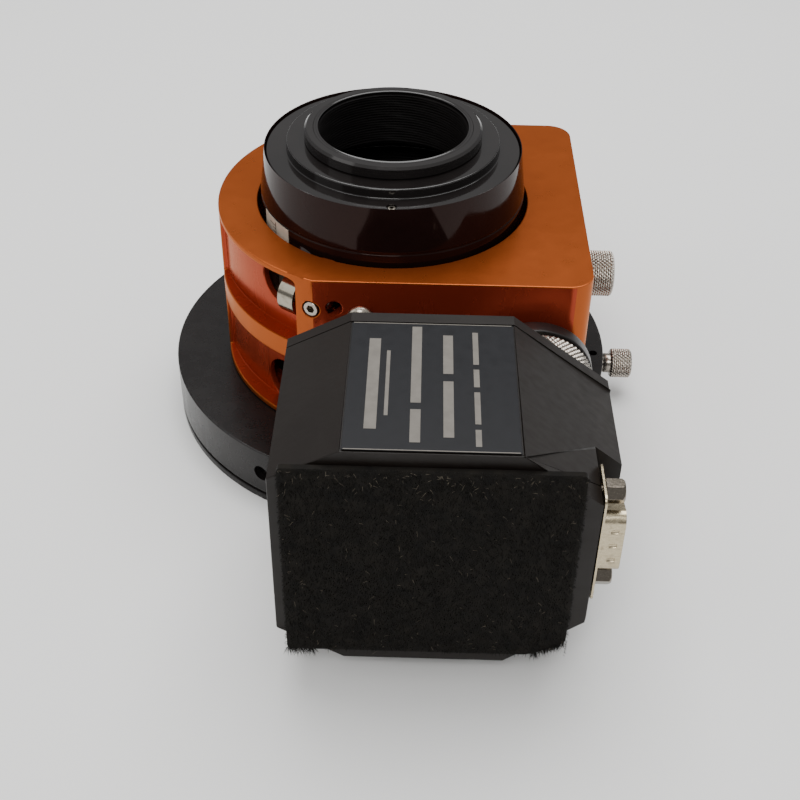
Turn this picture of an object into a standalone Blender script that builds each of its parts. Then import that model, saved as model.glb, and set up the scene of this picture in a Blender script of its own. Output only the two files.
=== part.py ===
"""Motorised friction-drive telescope focuser with a geared stepper drive.

The optical axis is the world Z axis and the mounting flange's underside is z = 0.
The drive shaft runs along Y on the +X side of the drawtube, and the motor box
hangs on the -Y side of the body.  All lengths are in metres.
"""
import math

import bpy
import bmesh
from mathutils import Matrix, Vector

# ---------------------------------------------------------------- driving sizes
GAP = 0.0003                    # clearance between touching pieces
STEPS = 56                      # facets on the large round pieces
SMALL_STEPS = 20                # facets on the small round pieces

# flange
FLANGE_RADIUS = 0.0625
FLANGE_TOP = 0.0169
FLANGE_GROOVE_Z = 0.0022
FLANGE_GROOVE = 0.0008
FLANGE_BORE = 0.0423
FLANGE_RECESS_RADIUS = 0.0540
FLANGE_RECESS_DEPTH = 0.0040
CLAMP_Z = 0.0095
CLAMP_SCREW_RADIUS = 0.0020
RIGHT_CLAMP_DEG = 0.0
BACK_CLAMP_DEG = 118.0
SET_SCREW_DEG = 238.0
INDEX_HOLE_DEG = -5.1
INDEX_HOLE_AT = 0.0595

# focuser body
BODY_RADIUS = 0.0472
BODY_HALF_DEPTH = 0.0434
BODY_RIGHT = 0.0513
BODY_CORNER = 0.0065
BODY_BOTTOM = FLANGE_TOP + GAP
BODY_TOP = 0.0650
BODY_BORE = 0.0366
BODY_MIDDLE = (BODY_BOTTOM + BODY_TOP) / 2
RELIEF_RADIUS = 0.0410          # the bore is wider between its lands
RELIEF_NEAR = 0.0050            # above and below the middle of the body
RELIEF_FAR = 0.0212

FACE_SCREW_X = -0.0067
FACE_SCREW_Z = 0.0546

# side windows and bearings
WINDOW_DEG = 46.0               # each pocket faces this far from the -X direction
WINDOW_FLOOR_RADIUS = 0.0580    # each pocket's floor is an arc about its own centre
WINDOW_FLOOR_CENTRE = (0.0093, 0.0122)
WINDOW_FLOOR_START = 199.6
WINDOW_FLOOR_END = 239.8
POST_HALF_WIDTH = 0.0073        # the post between the front and back pockets
WINDOW_RIGHT = 0.0121
WINDOW_CORNER = 0.0016
WINDOW_NEAR = 0.0030            # half height of the rib between the windows
WINDOW_FAR = 0.0223
BEARING_DEG = 56.0              # from the -X direction
BEARING_RISE = 0.0142           # above and below the middle of the body
BEARING_RADIUS = 0.0055
BEARING_WIDTH = 0.0050
BEARING_ROOM = 0.0004           # round each bearing in its slot
BEARING_HOLE_DEG = 49.5
BEARING_HOLE_RISE = 0.0161
BEARING_HOLE_RADIUS = 0.0064
AXLE_RADIUS = 0.0022
AXLE_START = -0.0036
AXLE_END = 0.0110
AXLE_ROOM = 0.0008              # past each end of an axle in its hole
AXLE_PORT_X = -0.0133
AXLE_PORT_RISE = 0.0158
LOCK_SCREW_DEG = 65.8
LOCK_SCREW_RISE = 0.0151

# drawtube
TUBE_RADIUS = 0.0355
TUBE_BOTTOM = 0.0045
TUBE_TOP = 0.0802
TUBE_BORE = 0.0312
SEAT_RADIUS = 0.0336
SEAT_Z = 0.0745
STRIP_HALF_WIDTH = 0.0057
STRIP_INNER = 0.0328
STRIP_OUTER = 0.0338
STRIP_BOTTOM = 0.0060
STRIP_TOP = 0.0640
ADAPTER_SCREW_DEG = 271.0
ADAPTER_SCREW_AT = 0.0320
SCALE_START_DEG = 201.5
SCALE_END_DEG = 222.4
SCALE_TOP = 0.0673
SCALE_BOTTOM = 0.0270

# drive shaft
SHAFT_RADIUS = 0.0031
SHAFT_X = STRIP_OUTER + GAP + SHAFT_RADIUS
SHAFT_Z = 0.0412
SHAFT_FRONT = -0.0900
SHAFT_BACK = 0.0610
KNOB_RADIUS = 0.0151
KNOB_INNER = 0.0457
KNOB_OUTER = 0.0603
KNOB_COLLAR = 0.0040

# motor box
PLATE_BACK = -0.0628
PLATE_FRONT = -0.0662
BOX_FRONT = -0.1114
BOX_WALL = 0.0020
NOTCH_Y = -0.0930
NOTCH_X = 0.0472
BOX_OUTLINE = [
    (-0.0076, 0.0696),
    (0.0298, 0.0696),
    (0.0536, 0.0515),
    (0.0536, 0.0230),
    (0.0294, 0.0061),
    (-0.0078, 0.0061),
    (-0.0228, 0.0155),
    (-0.0228, 0.0615),
]
LABEL_INSET = 0.0004
PAD_LEFT = -0.0203
PAD_RIGHT = 0.0430
PAD_BOTTOM = 0.0105
PAD_TOP = 0.0660
PAD_THICK = 0.0025

# motor and gears
MOTOR_X = 0.0100
MOTOR_Z = 0.0400
MOTOR_RADIUS = 0.0175
GEAR_MODULE = 0.0008
GEAR_TEETH = 28
PINION_TEETH = 14
ADDENDUM = 0.00055
DEDENDUM = 0.00110
GEAR_FACE = 0.0050
GEAR_Y = -0.0713                # the face nearest the plate
PINION_X = SHAFT_X - GEAR_MODULE * (GEAR_TEETH + PINION_TEETH) / 2

# connector
PORT_Y = -0.1050
PORT_Z = 0.0423
PORT_FLANGE_LENGTH = 0.0308
PORT_FLANGE_WIDTH = 0.0125
PORT_SHELL_LENGTH = 0.0169
PORT_SHELL_WIDTH = 0.0083
PORT_SHELL_REACH = 0.0059
JACKSCREW_SPACING = 0.0250
JACKSCREW_ACROSS_FLATS = 0.00475
PIN_PITCH = 0.00277             # between the contacts of one row
PIN_ROWS = 0.00284              # between the two rows
PIN_RADIUS = 0.0005

# axis directions for turned pieces
TO_X = Matrix.Rotation(math.radians(90), 4, "Y")
TO_Y = Matrix.Rotation(math.radians(-90), 4, "X")
UPRIGHT = Matrix.Identity(4)


# ---------------------------------------------------------------- scene and materials
for old in list(bpy.data.objects):
    bpy.data.objects.remove(old, do_unlink=True)

parts = bpy.data.collections.new("motor_focuser")
cutters = bpy.data.collections.new("cutters")
bpy.context.scene.collection.children.link(parts)
bpy.context.scene.collection.children.link(cutters)


def make_material(name, colour, roughness, metallic):
    """A Principled BSDF material with one colour, roughness and metallic value."""
    material = bpy.data.materials.new(name)
    material.use_nodes = True
    shader = material.node_tree.nodes["Principled BSDF"]
    shader.inputs["Base Color"].default_value = (*colour, 1.0)
    shader.inputs["Roughness"].default_value = roughness
    shader.inputs["Metallic"].default_value = metallic
    material.diffuse_color = (*colour, 1.0)
    return material


ORANGE = make_material("orange_anodised", (0.42, 0.10, 0.012), 0.32, 0.85)
BLACK = make_material("black_anodised", (0.012, 0.012, 0.013), 0.30, 0.55)
STEEL = make_material("bright_steel", (0.60, 0.59, 0.56), 0.25, 1.0)
NICKEL = make_material("nickel_plate", (0.62, 0.57, 0.48), 0.30, 1.0)
BRASS = make_material("brass", (0.55, 0.38, 0.14), 0.35, 1.0)
TAPE = make_material("scale_tape", (0.72, 0.68, 0.60), 0.55, 0.0)
LABEL = make_material("label_film", (0.020, 0.024, 0.034), 0.40, 0.0)
FUZZ = make_material("hook_loop_pile", (0.012, 0.010, 0.008), 0.95, 0.0)
BOARD = make_material("circuit_board", (0.01, 0.10, 0.04), 0.45, 0.0)
PLASTIC = make_material("black_plastic", (0.02, 0.02, 0.02), 0.50, 0.0)


# ---------------------------------------------------------------- modelling helpers
def place(obj, location=(0, 0, 0), turn=UPRIGHT):
    """Turn an object and move its origin to a location."""
    obj.matrix_world = Matrix.Translation(Vector(location)) @ turn
    return obj


def finish(obj, material):
    """File an object as a part, with its material and smooth shading."""
    parts.objects.link(obj)
    obj.data.materials.append(material)
    obj.data.shade_smooth()
    obj.data.set_sharp_from_angle(angle=math.radians(35))
    return obj


def as_cutter(obj):
    """File an object as a cutter, hidden from the finished part."""
    cutters.objects.link(obj)
    obj.hide_render = True
    obj.display_type = "WIRE"
    return obj


def boolean(target, tool, operation="DIFFERENCE"):
    """Cut a tool from a target, or join it on."""
    if tool.name not in cutters.objects:
        as_cutter(tool)
    modifier = target.modifiers.new(operation.lower(), "BOOLEAN")
    modifier.operation = operation
    modifier.solver = "EXACT"
    modifier.object = tool
    return target


def rod(name, radius, length, location=(0, 0, 0), turn=UPRIGHT, segments=SMALL_STEPS):
    """A cylinder that starts at its location and runs along its own Z axis."""
    mesh = bpy.data.meshes.new(name)
    shape = bmesh.new()
    bmesh.ops.create_cone(shape, cap_ends=True, segments=segments, radius1=radius, radius2=radius,
                          depth=length, matrix=Matrix.Translation((0, 0, length / 2)))
    shape.to_mesh(mesh)
    shape.free()
    return place(bpy.data.objects.new(name, mesh), location, turn)


def box(name, low, high):
    """A box between two corners, with its origin at its middle."""
    low = Vector(low)
    high = Vector(high)
    mesh = bpy.data.meshes.new(name)
    shape = bmesh.new()
    bmesh.ops.create_cube(shape, size=1.0, matrix=Matrix.Diagonal((*(high - low), 1.0)))
    shape.to_mesh(mesh)
    shape.free()
    return place(bpy.data.objects.new(name, mesh), (low + high) / 2)


def turned(name, profile, location=(0, 0, 0), turn=UPRIGHT, steps=STEPS):
    """A ring turned about its own Z axis from a closed profile of (radius, height).

    The profile runs down its outer side and up its inner side.
    """
    mesh = bpy.data.meshes.new(name)
    count = len(profile)
    points = [(radius, 0.0, height) for radius, height in profile]
    mesh.from_pydata(points, [(i, (i + 1) % count) for i in range(count)], [])
    obj = bpy.data.objects.new(name, mesh)
    screw = obj.modifiers.new("turn", "SCREW")
    screw.steps = steps
    screw.render_steps = steps
    screw.use_merge_vertices = True
    screw.merge_threshold = 0.00001
    screw.use_smooth_shade = True
    return place(obj, location, turn)


def spindle(name, profile, location=(0, 0, 0), turn=UPRIGHT, steps=SMALL_STEPS):
    """A solid turned about its own Z axis from an open profile, from the top centre down."""
    mesh = bpy.data.meshes.new(name)
    points = [(radius, 0.0, height) for radius, height in profile]
    mesh.from_pydata(points, [(i, i + 1) for i in range(len(points) - 1)], [])
    obj = bpy.data.objects.new(name, mesh)
    screw = obj.modifiers.new("turn", "SCREW")
    screw.steps = steps
    screw.render_steps = steps
    screw.use_merge_vertices = True
    screw.merge_threshold = 0.00001
    return place(obj, location, turn)


def flat_solid(name, outlines, thickness, location=(0, 0, 0), turn=UPRIGHT):
    """A slab from flat outlines, the first one outside and the rest holes.

    It starts at its location and rises by its thickness along its own Z axis.
    """
    curve = bpy.data.curves.new(name, "CURVE")
    curve.dimensions = "2D"
    curve.fill_mode = "BOTH"
    curve.extrude = thickness / 2
    for outline in outlines:
        spline = curve.splines.new("POLY")
        spline.points.add(len(outline) - 1)
        for point, (x, y) in zip(spline.points, outline):
            point.co = (x, y, 0, 1)
        spline.use_cyclic_u = True
    guide = bpy.data.objects.new(name + "_outline", curve)
    cutters.objects.link(guide)
    bpy.context.view_layer.update()
    evaluated = guide.evaluated_get(bpy.context.evaluated_depsgraph_get())
    mesh = bpy.data.meshes.new_from_object(evaluated)
    bpy.data.objects.remove(guide, do_unlink=True)
    shape = bmesh.new()
    shape.from_mesh(mesh)
    bmesh.ops.remove_doubles(shape, verts=shape.verts, dist=0.000005)
    bmesh.ops.translate(shape, vec=(0, 0, thickness / 2), verts=shape.verts)
    bmesh.ops.recalc_face_normals(shape, faces=shape.faces)
    shape.to_mesh(mesh)
    shape.free()
    mesh.materials.clear()
    return place(bpy.data.objects.new(name, mesh), location, turn)


def arc(centre, radius, start_deg, end_deg, count):
    """Points along an arc, both ends included."""
    sweep = end_deg - start_deg
    angles = [math.radians(start_deg + sweep * i / count) for i in range(count + 1)]
    return [(centre[0] + radius * math.cos(a), centre[1] + radius * math.sin(a)) for a in angles]


def circle(radius, count=STEPS, centre=(0, 0)):
    """Points round a whole circle."""
    return arc(centre, radius, 0, 360 - 360 / count, count - 1)


def radial(degrees):
    """Turns +Z to point outward from the optical axis at an azimuth."""
    return Matrix.Rotation(math.radians(degrees), 4, "Z") @ TO_X


def on_circle(degrees, radius, height):
    """A point at an azimuth, radius and height."""
    angle = math.radians(degrees)
    return Vector((radius * math.cos(angle), radius * math.sin(angle), height))


# ---------------------------------------------------------------- flange and clamp screws
def base_flange():
    edge = 0.0006
    groove_top = FLANGE_GROOVE_Z + FLANGE_GROOVE
    profile = [
        (FLANGE_RADIUS - edge, FLANGE_TOP),
        (FLANGE_RADIUS, FLANGE_TOP - edge),
        (FLANGE_RADIUS, groove_top),
        (FLANGE_RADIUS - FLANGE_GROOVE, groove_top),
        (FLANGE_RADIUS - FLANGE_GROOVE, FLANGE_GROOVE_Z),
        (FLANGE_RADIUS, FLANGE_GROOVE_Z),
        (FLANGE_RADIUS, 0.0),
        (FLANGE_RECESS_RADIUS, 0.0),
        (FLANGE_RECESS_RADIUS, FLANGE_RECESS_DEPTH),
        (FLANGE_BORE, FLANGE_RECESS_DEPTH),
        (FLANGE_BORE, FLANGE_TOP),
    ]
    flange = turned("base_flange", profile)
    for degrees in (RIGHT_CLAMP_DEG, BACK_CLAMP_DEG, SET_SCREW_DEG):
        start = on_circle(degrees, FLANGE_BORE - 0.003, CLAMP_Z)
        hole = rod("clamp_hole", CLAMP_SCREW_RADIUS + GAP, 0.025, start, radial(degrees), 16)
        boolean(flange, hole)
    index_start = on_circle(INDEX_HOLE_DEG, INDEX_HOLE_AT, FLANGE_TOP - 0.003)
    index_hole = rod("index_hole", 0.0012, 0.004, index_start, UPRIGHT, 12)
    boolean(flange, index_hole)
    finish(flange, BLACK)


def clamp_thumbscrew(name, degrees):
    """A cone-point screw in the flange with a round knurled head, origin on its own axis."""
    reach = FLANGE_RADIUS + 0.0029
    head_top = 0.0716 - reach
    tip = 0.0413 - reach
    profile = [
        (0.0, head_top),
        (0.0038, head_top),
        (0.0043, head_top - 0.0005),
        (0.0043, 0.0005),
        (0.0038, 0.0),
        (0.0029, 0.0),
        (0.0029, FLANGE_RADIUS + GAP - reach),
        (CLAMP_SCREW_RADIUS, FLANGE_RADIUS + GAP - reach),
        (CLAMP_SCREW_RADIUS, tip + 0.0013),
        (0.0006, tip),
        (0.0, tip),
    ]
    screw = spindle(name, profile, on_circle(degrees, reach, CLAMP_Z), radial(degrees))
    finish(screw, STEEL)


def socket_screw(name, radius, length, location, turn):
    """A headless set screw with a hexagon socket, its outer face at the location."""
    profile = [(0.0, 0.0), (radius, 0.0), (radius, -length), (0.0, -length)]
    screw = spindle(name, profile, location, turn, 16)
    socket_depth = min(0.0015, length * 0.6)
    socket = rod(name + "_socket", radius * 0.55, socket_depth + 0.001, (0, 0, 0), UPRIGHT, 6)
    socket.matrix_world = screw.matrix_world @ Matrix.Translation((0, 0, -socket_depth))
    boolean(screw, socket)
    finish(screw, STEEL)


# ---------------------------------------------------------------- focuser body
def body_outline():
    """The plan of the body: a round left side and a square right side."""
    meet_deg = math.degrees(math.asin(BODY_HALF_DEPTH / BODY_RADIUS))
    right = BODY_RIGHT - BODY_CORNER
    depth = BODY_HALF_DEPTH - BODY_CORNER
    outline = arc((0, 0), BODY_RADIUS, 180 - meet_deg, 180 + meet_deg, 32)
    outline += arc((right, -depth), BODY_CORNER, -90, 0, 6)
    outline += arc((right, depth), BODY_CORNER, 0, 90, 6)
    return outline


def window_cutter(side, level):
    """A milled pocket in the round side; side is +1 at the back, and level +1 is the upper one."""
    low = BODY_MIDDLE + (WINDOW_NEAR if level > 0 else -WINDOW_FAR)
    height = WINDOW_FAR - WINDOW_NEAR
    plan = arc(WINDOW_FLOOR_CENTRE, WINDOW_FLOOR_RADIUS, WINDOW_FLOOR_START, WINDOW_FLOOR_END, 12)
    plan += [(-0.0272, -0.0455), (-0.0500, -0.0400), (-0.0560, -POST_HALF_WIDTH)]
    pocket = flat_solid("window_cutter", [[(x, -side * y) for x, y in plan]], height, (0, 0, low))
    inset = WINDOW_RIGHT - WINDOW_CORNER
    face = [(-low - height, -0.050)]
    face += arc((WINDOW_CORNER - low - height, inset), WINDOW_CORNER, 180, 90, 4)
    face += arc((-low - WINDOW_CORNER, inset), WINDOW_CORNER, 90, 0, 4)
    face += [(-low, -0.050)]
    facing = 180 - side * WINDOW_DEG
    rounded = flat_solid("window_corners", [[(z, -side * t) for z, t in face]], 0.040,
                         on_circle(facing, 0.030, 0), radial(facing))
    as_cutter(pocket)
    return boolean(pocket, rounded, "INTERSECT")


def bearing_frame(side, level):
    """Where a drawtube bearing sits: its +Z runs along its axle, towards the flat face."""
    degrees = 180 - side * BEARING_DEG
    height = BODY_MIDDLE + level * BEARING_RISE
    centre = on_circle(degrees, TUBE_RADIUS + GAP + BEARING_RADIUS, height)
    outward = on_circle(degrees, 1.0, 0.0)
    along = Vector((side * outward.y, -side * outward.x, 0.0))
    turn = Vector((0, 0, 1)).rotation_difference(along).to_matrix().to_4x4()
    return centre, along, turn


BEARINGS = [(-1, 1), (-1, -1), (1, 1), (1, -1)]


def lock_screw_frame(side, level, depth):
    """Where an axle's lock screw stands at a depth under the round side, and its turn."""
    degrees = 180 - side * LOCK_SCREW_DEG
    height = BODY_MIDDLE + level * LOCK_SCREW_RISE
    return on_circle(degrees, BODY_RADIUS - depth, height), radial(degrees)


def bearing_slot(side, height):
    """A cutter for the slot that a bearing stands in, open to the bore."""
    degrees = 180 - side * BEARING_DEG
    rise = BEARING_RADIUS + BEARING_ROOM
    half = BEARING_WIDTH / 2 + BEARING_ROOM
    outline = [(-height - rise, -half), (rise - height, -half), (rise - height, half),
               (-height - rise, half)]
    return flat_solid("bearing_slot", [outline], 2 * rise + GAP,
                      on_circle(degrees, TUBE_RADIUS - BEARING_ROOM, 0), radial(degrees))


def relief_cutter(level):
    """The wider part of the bore above or below its middle land."""
    low = BODY_MIDDLE + (RELIEF_NEAR if level > 0 else -RELIEF_FAR)
    high = low + RELIEF_FAR - RELIEF_NEAR
    inner = BODY_BORE - 2 * GAP
    ring = [(RELIEF_RADIUS, high), (RELIEF_RADIUS, low), (inner, low), (inner, high)]
    return turned("bore_relief", ring)


def focuser_body():
    body = flat_solid("focuser_body", [body_outline(), circle(BODY_BORE)], BODY_TOP - BODY_BOTTOM,
                      (0, 0, BODY_BOTTOM))
    for level in (-1, 1):
        boolean(body, relief_cutter(level))
    for side, level in BEARINGS:
        boolean(body, window_cutter(side, level))
        centre, along, turn = bearing_frame(side, level)
        boolean(body, bearing_slot(side, centre.z))
        degrees = 180 - side * BEARING_HOLE_DEG
        hole_height = BODY_MIDDLE + level * BEARING_HOLE_RISE
        opening = rod("bearing_opening", BEARING_HOLE_RADIUS, 0.0106,
                      on_circle(degrees, BODY_BORE - 0.003, hole_height), radial(degrees))
        boolean(body, opening)
        axle_hole = rod("axle_hole", AXLE_RADIUS + GAP, AXLE_END - AXLE_START + 2 * AXLE_ROOM,
                        centre + along * (AXLE_START - AXLE_ROOM), turn, 12)
        boolean(body, axle_hole)
        outward = TO_Y if side > 0 else TO_Y.inverted()
        port_start = (AXLE_PORT_X, side * (BODY_HALF_DEPTH - 0.0050),
                      BODY_MIDDLE + level * AXLE_PORT_RISE)
        axle_port = rod("axle_port", 0.00205, 0.0060, port_start, outward, 16)
        boolean(body, axle_port)
        screw_at, screw_turn = lock_screw_frame(side, level, 0.0040)
        boolean(body, rod("lock_screw_hole", 0.0023, 0.0060, screw_at, screw_turn, 12))
    shaft_channel = rod("shaft_channel", SHAFT_RADIUS + 2 * GAP, 0.09,
                        (SHAFT_X, 0.045, SHAFT_Z), TO_Y.inverted())
    boolean(body, shaft_channel)
    for side in (-1, 1):
        turn = TO_Y if side > 0 else TO_Y.inverted()
        seat = rod("bush_seat", 0.0058, 0.0075, (SHAFT_X, side * (BODY_HALF_DEPTH - 0.0065), SHAFT_Z), turn)
        boolean(body, seat)
    pocket = box("block_pocket", (SHAFT_X, -0.0080, SHAFT_Z - 0.0060), (0.0478, 0.0080, SHAFT_Z + 0.0060))
    boolean(body, pocket)
    knob_hole = rod("knob_hole", 0.0028, 0.010, (0.0440, 0, SHAFT_Z), TO_X, 16)
    boolean(body, knob_hole)
    screw_hole = rod("front_screw_hole", 0.0018, 0.0080,
                     (FACE_SCREW_X, -0.0360, FACE_SCREW_Z), TO_Y.inverted(), 12)
    boolean(body, screw_hole)
    finish(body, ORANGE)


def body_spigot():
    """The ring under the body that turns in the flange, with a groove for the clamp screws."""
    outer = FLANGE_BORE - GAP
    groove = 0.0020
    profile = [
        (outer, BODY_BOTTOM - GAP),
        (outer, CLAMP_Z + groove),
        (outer - 0.0015, CLAMP_Z),
        (outer, CLAMP_Z - groove),
        (outer, 0.0046),
        (0.0374, 0.0046),
        (0.0374, BODY_BOTTOM - GAP),
    ]
    finish(turned("body_spigot", profile), BLACK)


def bearing_set(number, side, level):
    """One ball bearing, its axle and the screw that locks the axle."""
    centre, along, turn = bearing_frame(side, level)
    half = BEARING_WIDTH / 2
    chamfer = 0.0004
    inner = AXLE_RADIUS + GAP
    ring_profile = [
        (BEARING_RADIUS - chamfer, half),
        (BEARING_RADIUS, half - chamfer),
        (BEARING_RADIUS, chamfer - half),
        (BEARING_RADIUS - chamfer, -half),
        (inner, -half),
        (inner, half),
    ]
    ring = turned(f"bearing_{number}", ring_profile, centre, turn, 24)
    finish(ring, STEEL)
    axle = rod(f"bearing_axle_{number}", AXLE_RADIUS, AXLE_END - AXLE_START,
               centre + along * AXLE_START, turn, 12)
    finish(axle, STEEL)
    screw_at, screw_turn = lock_screw_frame(side, level, 0.0002)
    socket_screw(f"axle_lock_screw_{number}", 0.0020, 0.0018, screw_at, screw_turn)


# ---------------------------------------------------------------- drawtube and adapter
def drawtube():
    profile = [
        (TUBE_RADIUS - 0.0004, TUBE_TOP),
        (TUBE_RADIUS, TUBE_TOP - 0.0004),
        (TUBE_RADIUS, TUBE_BOTTOM),
        (TUBE_BORE, TUBE_BOTTOM),
        (TUBE_BORE, SEAT_Z),
        (SEAT_RADIUS + GAP, SEAT_Z),
        (SEAT_RADIUS + GAP, TUBE_TOP),
    ]
    tube = turned("drawtube", profile)
    flat = box("strip_flat", (STRIP_INNER - GAP, -STRIP_HALF_WIDTH - GAP, STRIP_BOTTOM - GAP),
               (0.0380, STRIP_HALF_WIDTH + GAP, STRIP_TOP + GAP))
    boolean(tube, flat)
    clear_flat = box("clear_flat", (STRIP_OUTER - 0.0002, -0.0140, STRIP_BOTTOM - GAP),
                     (0.0380, 0.0140, STRIP_TOP + GAP))
    boolean(tube, clear_flat)
    scale = arc((0, 0), TUBE_RADIUS - 0.0006, SCALE_START_DEG - 0.5, SCALE_END_DEG + 0.5, 6)
    scale += arc((0, 0), TUBE_RADIUS + 0.001, SCALE_END_DEG + 0.5, SCALE_START_DEG - 0.5, 6)
    recess = flat_solid("scale_recess", [scale], SCALE_TOP - SCALE_BOTTOM + 2 * GAP,
                        (0, 0, SCALE_BOTTOM - GAP))
    boolean(tube, recess)
    finish(tube, BLACK)


def drive_strip():
    strip = box("drive_strip", (STRIP_INNER, -STRIP_HALF_WIDTH, STRIP_BOTTOM),
                (STRIP_OUTER, STRIP_HALF_WIDTH, STRIP_TOP))
    finish(strip, STEEL)


def scale_strip():
    outline = arc((0, 0), TUBE_RADIUS - 0.0003, SCALE_START_DEG, SCALE_END_DEG, 6)
    outline += arc((0, 0), TUBE_RADIUS, SCALE_END_DEG, SCALE_START_DEG, 6)
    strip = flat_solid("scale_strip", [outline], SCALE_TOP - SCALE_BOTTOM, (0, 0, SCALE_BOTTOM))
    finish(strip, TAPE)


def thread_adapter():
    """The stepped disc that closes the drawtube and carries the camera-thread neck."""
    profile = [
        (0.0278, 0.0823),
        (0.0281, 0.0820),
        (0.0281, 0.0797),
        (SEAT_RADIUS, 0.0797),
        (SEAT_RADIUS, SEAT_Z + GAP),
        (0.0309, SEAT_Z + GAP),
        (0.0309, 0.0640),
        (0.0292, 0.0640),
        (0.0292, SEAT_Z),
        (0.0215, SEAT_Z),
        (0.0215, 0.0823),
    ]
    adapter = turned("thread_adapter", profile)
    hole_start = on_circle(ADAPTER_SCREW_DEG, ADAPTER_SCREW_AT, 0.0765)
    boolean(adapter, rod("grub_hole", 0.0013, 0.010, hole_start, UPRIGHT, 12))
    finish(adapter, BLACK)


def adapter_neck():
    """The raised tube with a female camera thread."""
    profile = [
        (0.0228, 0.0856),
        (0.0234, 0.0850),
        (0.0234, 0.0826),
        (0.0212, 0.0826),
        (0.0212, 0.0700),
        (0.0198, 0.0700),
        (0.0194, 0.0704),
        (0.0194, 0.0852),
        (0.0198, 0.0856),
    ]
    finish(turned("adapter_neck", profile), BLACK)


# ---------------------------------------------------------------- drive shaft and tension knob
def drive_shaft():
    shaft = rod("drive_shaft", SHAFT_RADIUS, SHAFT_BACK - SHAFT_FRONT,
                (SHAFT_X, SHAFT_FRONT, SHAFT_Z), TO_Y, 32)
    finish(shaft, STEEL)


def shaft_bush(name, side):
    length = 0.0062
    profile = [
        (0.0055, length),
        (0.0055, 0.0),
        (SHAFT_RADIUS + GAP, 0.0),
        (SHAFT_RADIUS + GAP, length),
    ]
    start = side * (BODY_HALF_DEPTH - 0.0062)
    turn = TO_Y if side > 0 else TO_Y.inverted()
    finish(turned(name, profile, (SHAFT_X, start, SHAFT_Z), turn, 24), BRASS)


def shaft_pressure_block():
    block = box("shaft_pressure_block", (SHAFT_X + 0.0010, -0.0077, SHAFT_Z - 0.0057),
                (0.0475, 0.0077, SHAFT_Z + 0.0057))
    saddle = rod("block_saddle", SHAFT_RADIUS + GAP, 0.030, (SHAFT_X, -0.015, SHAFT_Z), TO_Y, 32)
    boolean(block, saddle)
    finish(block, BRASS)


def tension_knob():
    """The knurled screw in the right end that presses the shaft against the drawtube."""
    origin_x = 0.0540
    profile = [
        (0.0, 0.0084),
        (0.0058, 0.0084),
        (0.0064, 0.0078),
        (0.0064, 0.0006),
        (0.0058, 0.0),
        (0.0040, 0.0),
        (0.0040, BODY_RIGHT + GAP - origin_x),
        (0.0025, BODY_RIGHT + GAP - origin_x),
        (0.0025, 0.0475 + GAP - origin_x),
        (0.0, 0.0475 + GAP - origin_x),
    ]
    finish(spindle("tension_knob", profile, (origin_x, 0, SHAFT_Z), TO_X), STEEL)


def coarse_knob(name, side):
    """A knurled wheel on the shaft and the dark collar on its inner side."""
    turn = TO_Y if side > 0 else TO_Y.inverted()
    inner = SHAFT_RADIUS + GAP
    width = KNOB_OUTER - KNOB_INNER
    wheel_start = KNOB_COLLAR + GAP
    collar_profile = [
        (KNOB_RADIUS, KNOB_COLLAR),
        (KNOB_RADIUS, 0.0005),
        (KNOB_RADIUS - 0.0005, 0.0),
        (inner, 0.0),
        (inner, KNOB_COLLAR),
    ]
    wheel_profile = [
        (KNOB_RADIUS - 0.0008, width),
        (KNOB_RADIUS, width - 0.0008),
        (KNOB_RADIUS, wheel_start + 0.0006),
        (KNOB_RADIUS - 0.0010, wheel_start + 0.0006),
        (KNOB_RADIUS - 0.0010, wheel_start),
        (inner, wheel_start),
        (inner, width - 0.0010),
        (0.0100, width - 0.0010),
        (0.0110, width),
    ]
    origin = (SHAFT_X, side * KNOB_INNER, SHAFT_Z)
    finish(turned(name + "_collar", collar_profile, origin, turn, 36), BLACK)
    finish(turned(name, wheel_profile, origin, turn, 36), STEEL)


# ---------------------------------------------------------------- motor box
def inset_outline(outline, inset):
    """A convex clockwise outline with each side moved inward."""
    count = len(outline)
    sides = []
    for i in range(count):
        start = Vector(outline[i])
        end = Vector(outline[(i + 1) % count])
        direction = (end - start).normalized()
        inward = Vector((direction.y, -direction.x))
        sides.append((start + inward * inset, direction))
    corners = []
    for i in range(count):
        (point_a, way_a), (point_b, way_b) = sides[i - 1], sides[i]
        offset = point_b - point_a
        travel = (offset.x * way_b.y - offset.y * way_b.x) / (way_a.x * way_b.y - way_a.y * way_b.x)
        corners.append(tuple(point_a + way_a * travel))
    return corners


def clip_right(outline, limit):
    """The part of an outline that lies left of a limit."""
    kept = []
    for i, (x, z) in enumerate(outline):
        next_x, next_z = outline[(i + 1) % len(outline)]
        if x <= limit:
            kept.append((x, z))
        if (x - limit) * (next_x - limit) < 0:
            share = (limit - x) / (next_x - x)
            kept.append((limit, z + share * (next_z - z)))
    return kept


def box_slab(name, outlines, front, back):
    """A slab from outlines in (x, z), between two y positions."""
    mirrored = [[(x, -z) for x, z in outline] for outline in outlines]
    return flat_solid(name, mirrored, back - front, (0, front, 0), TO_Y)


PLATE_SCREWS = [(-0.0180, 0.0210), (-0.0180, 0.0560), (0.0488, 0.0265), (0.0335, 0.0615)]
POSTS = [(-0.0080, 0.0270), (-0.0080, 0.0450), (0.0140, 0.0270), (0.0140, 0.0450)]
BOSS_RADIUS = 0.0034


def motor_back_plate():
    plate = box_slab("motor_back_plate", [BOX_OUTLINE, circle(0.0038, 24, (SHAFT_X, SHAFT_Z))],
                     PLATE_FRONT, PLATE_BACK)
    for x, z in PLATE_SCREWS:
        boolean(plate, rod("plate_screw_hole", 0.0017, 0.012, (x, -0.070, z), TO_Y, 12))
    finish(plate, BLACK)


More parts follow.
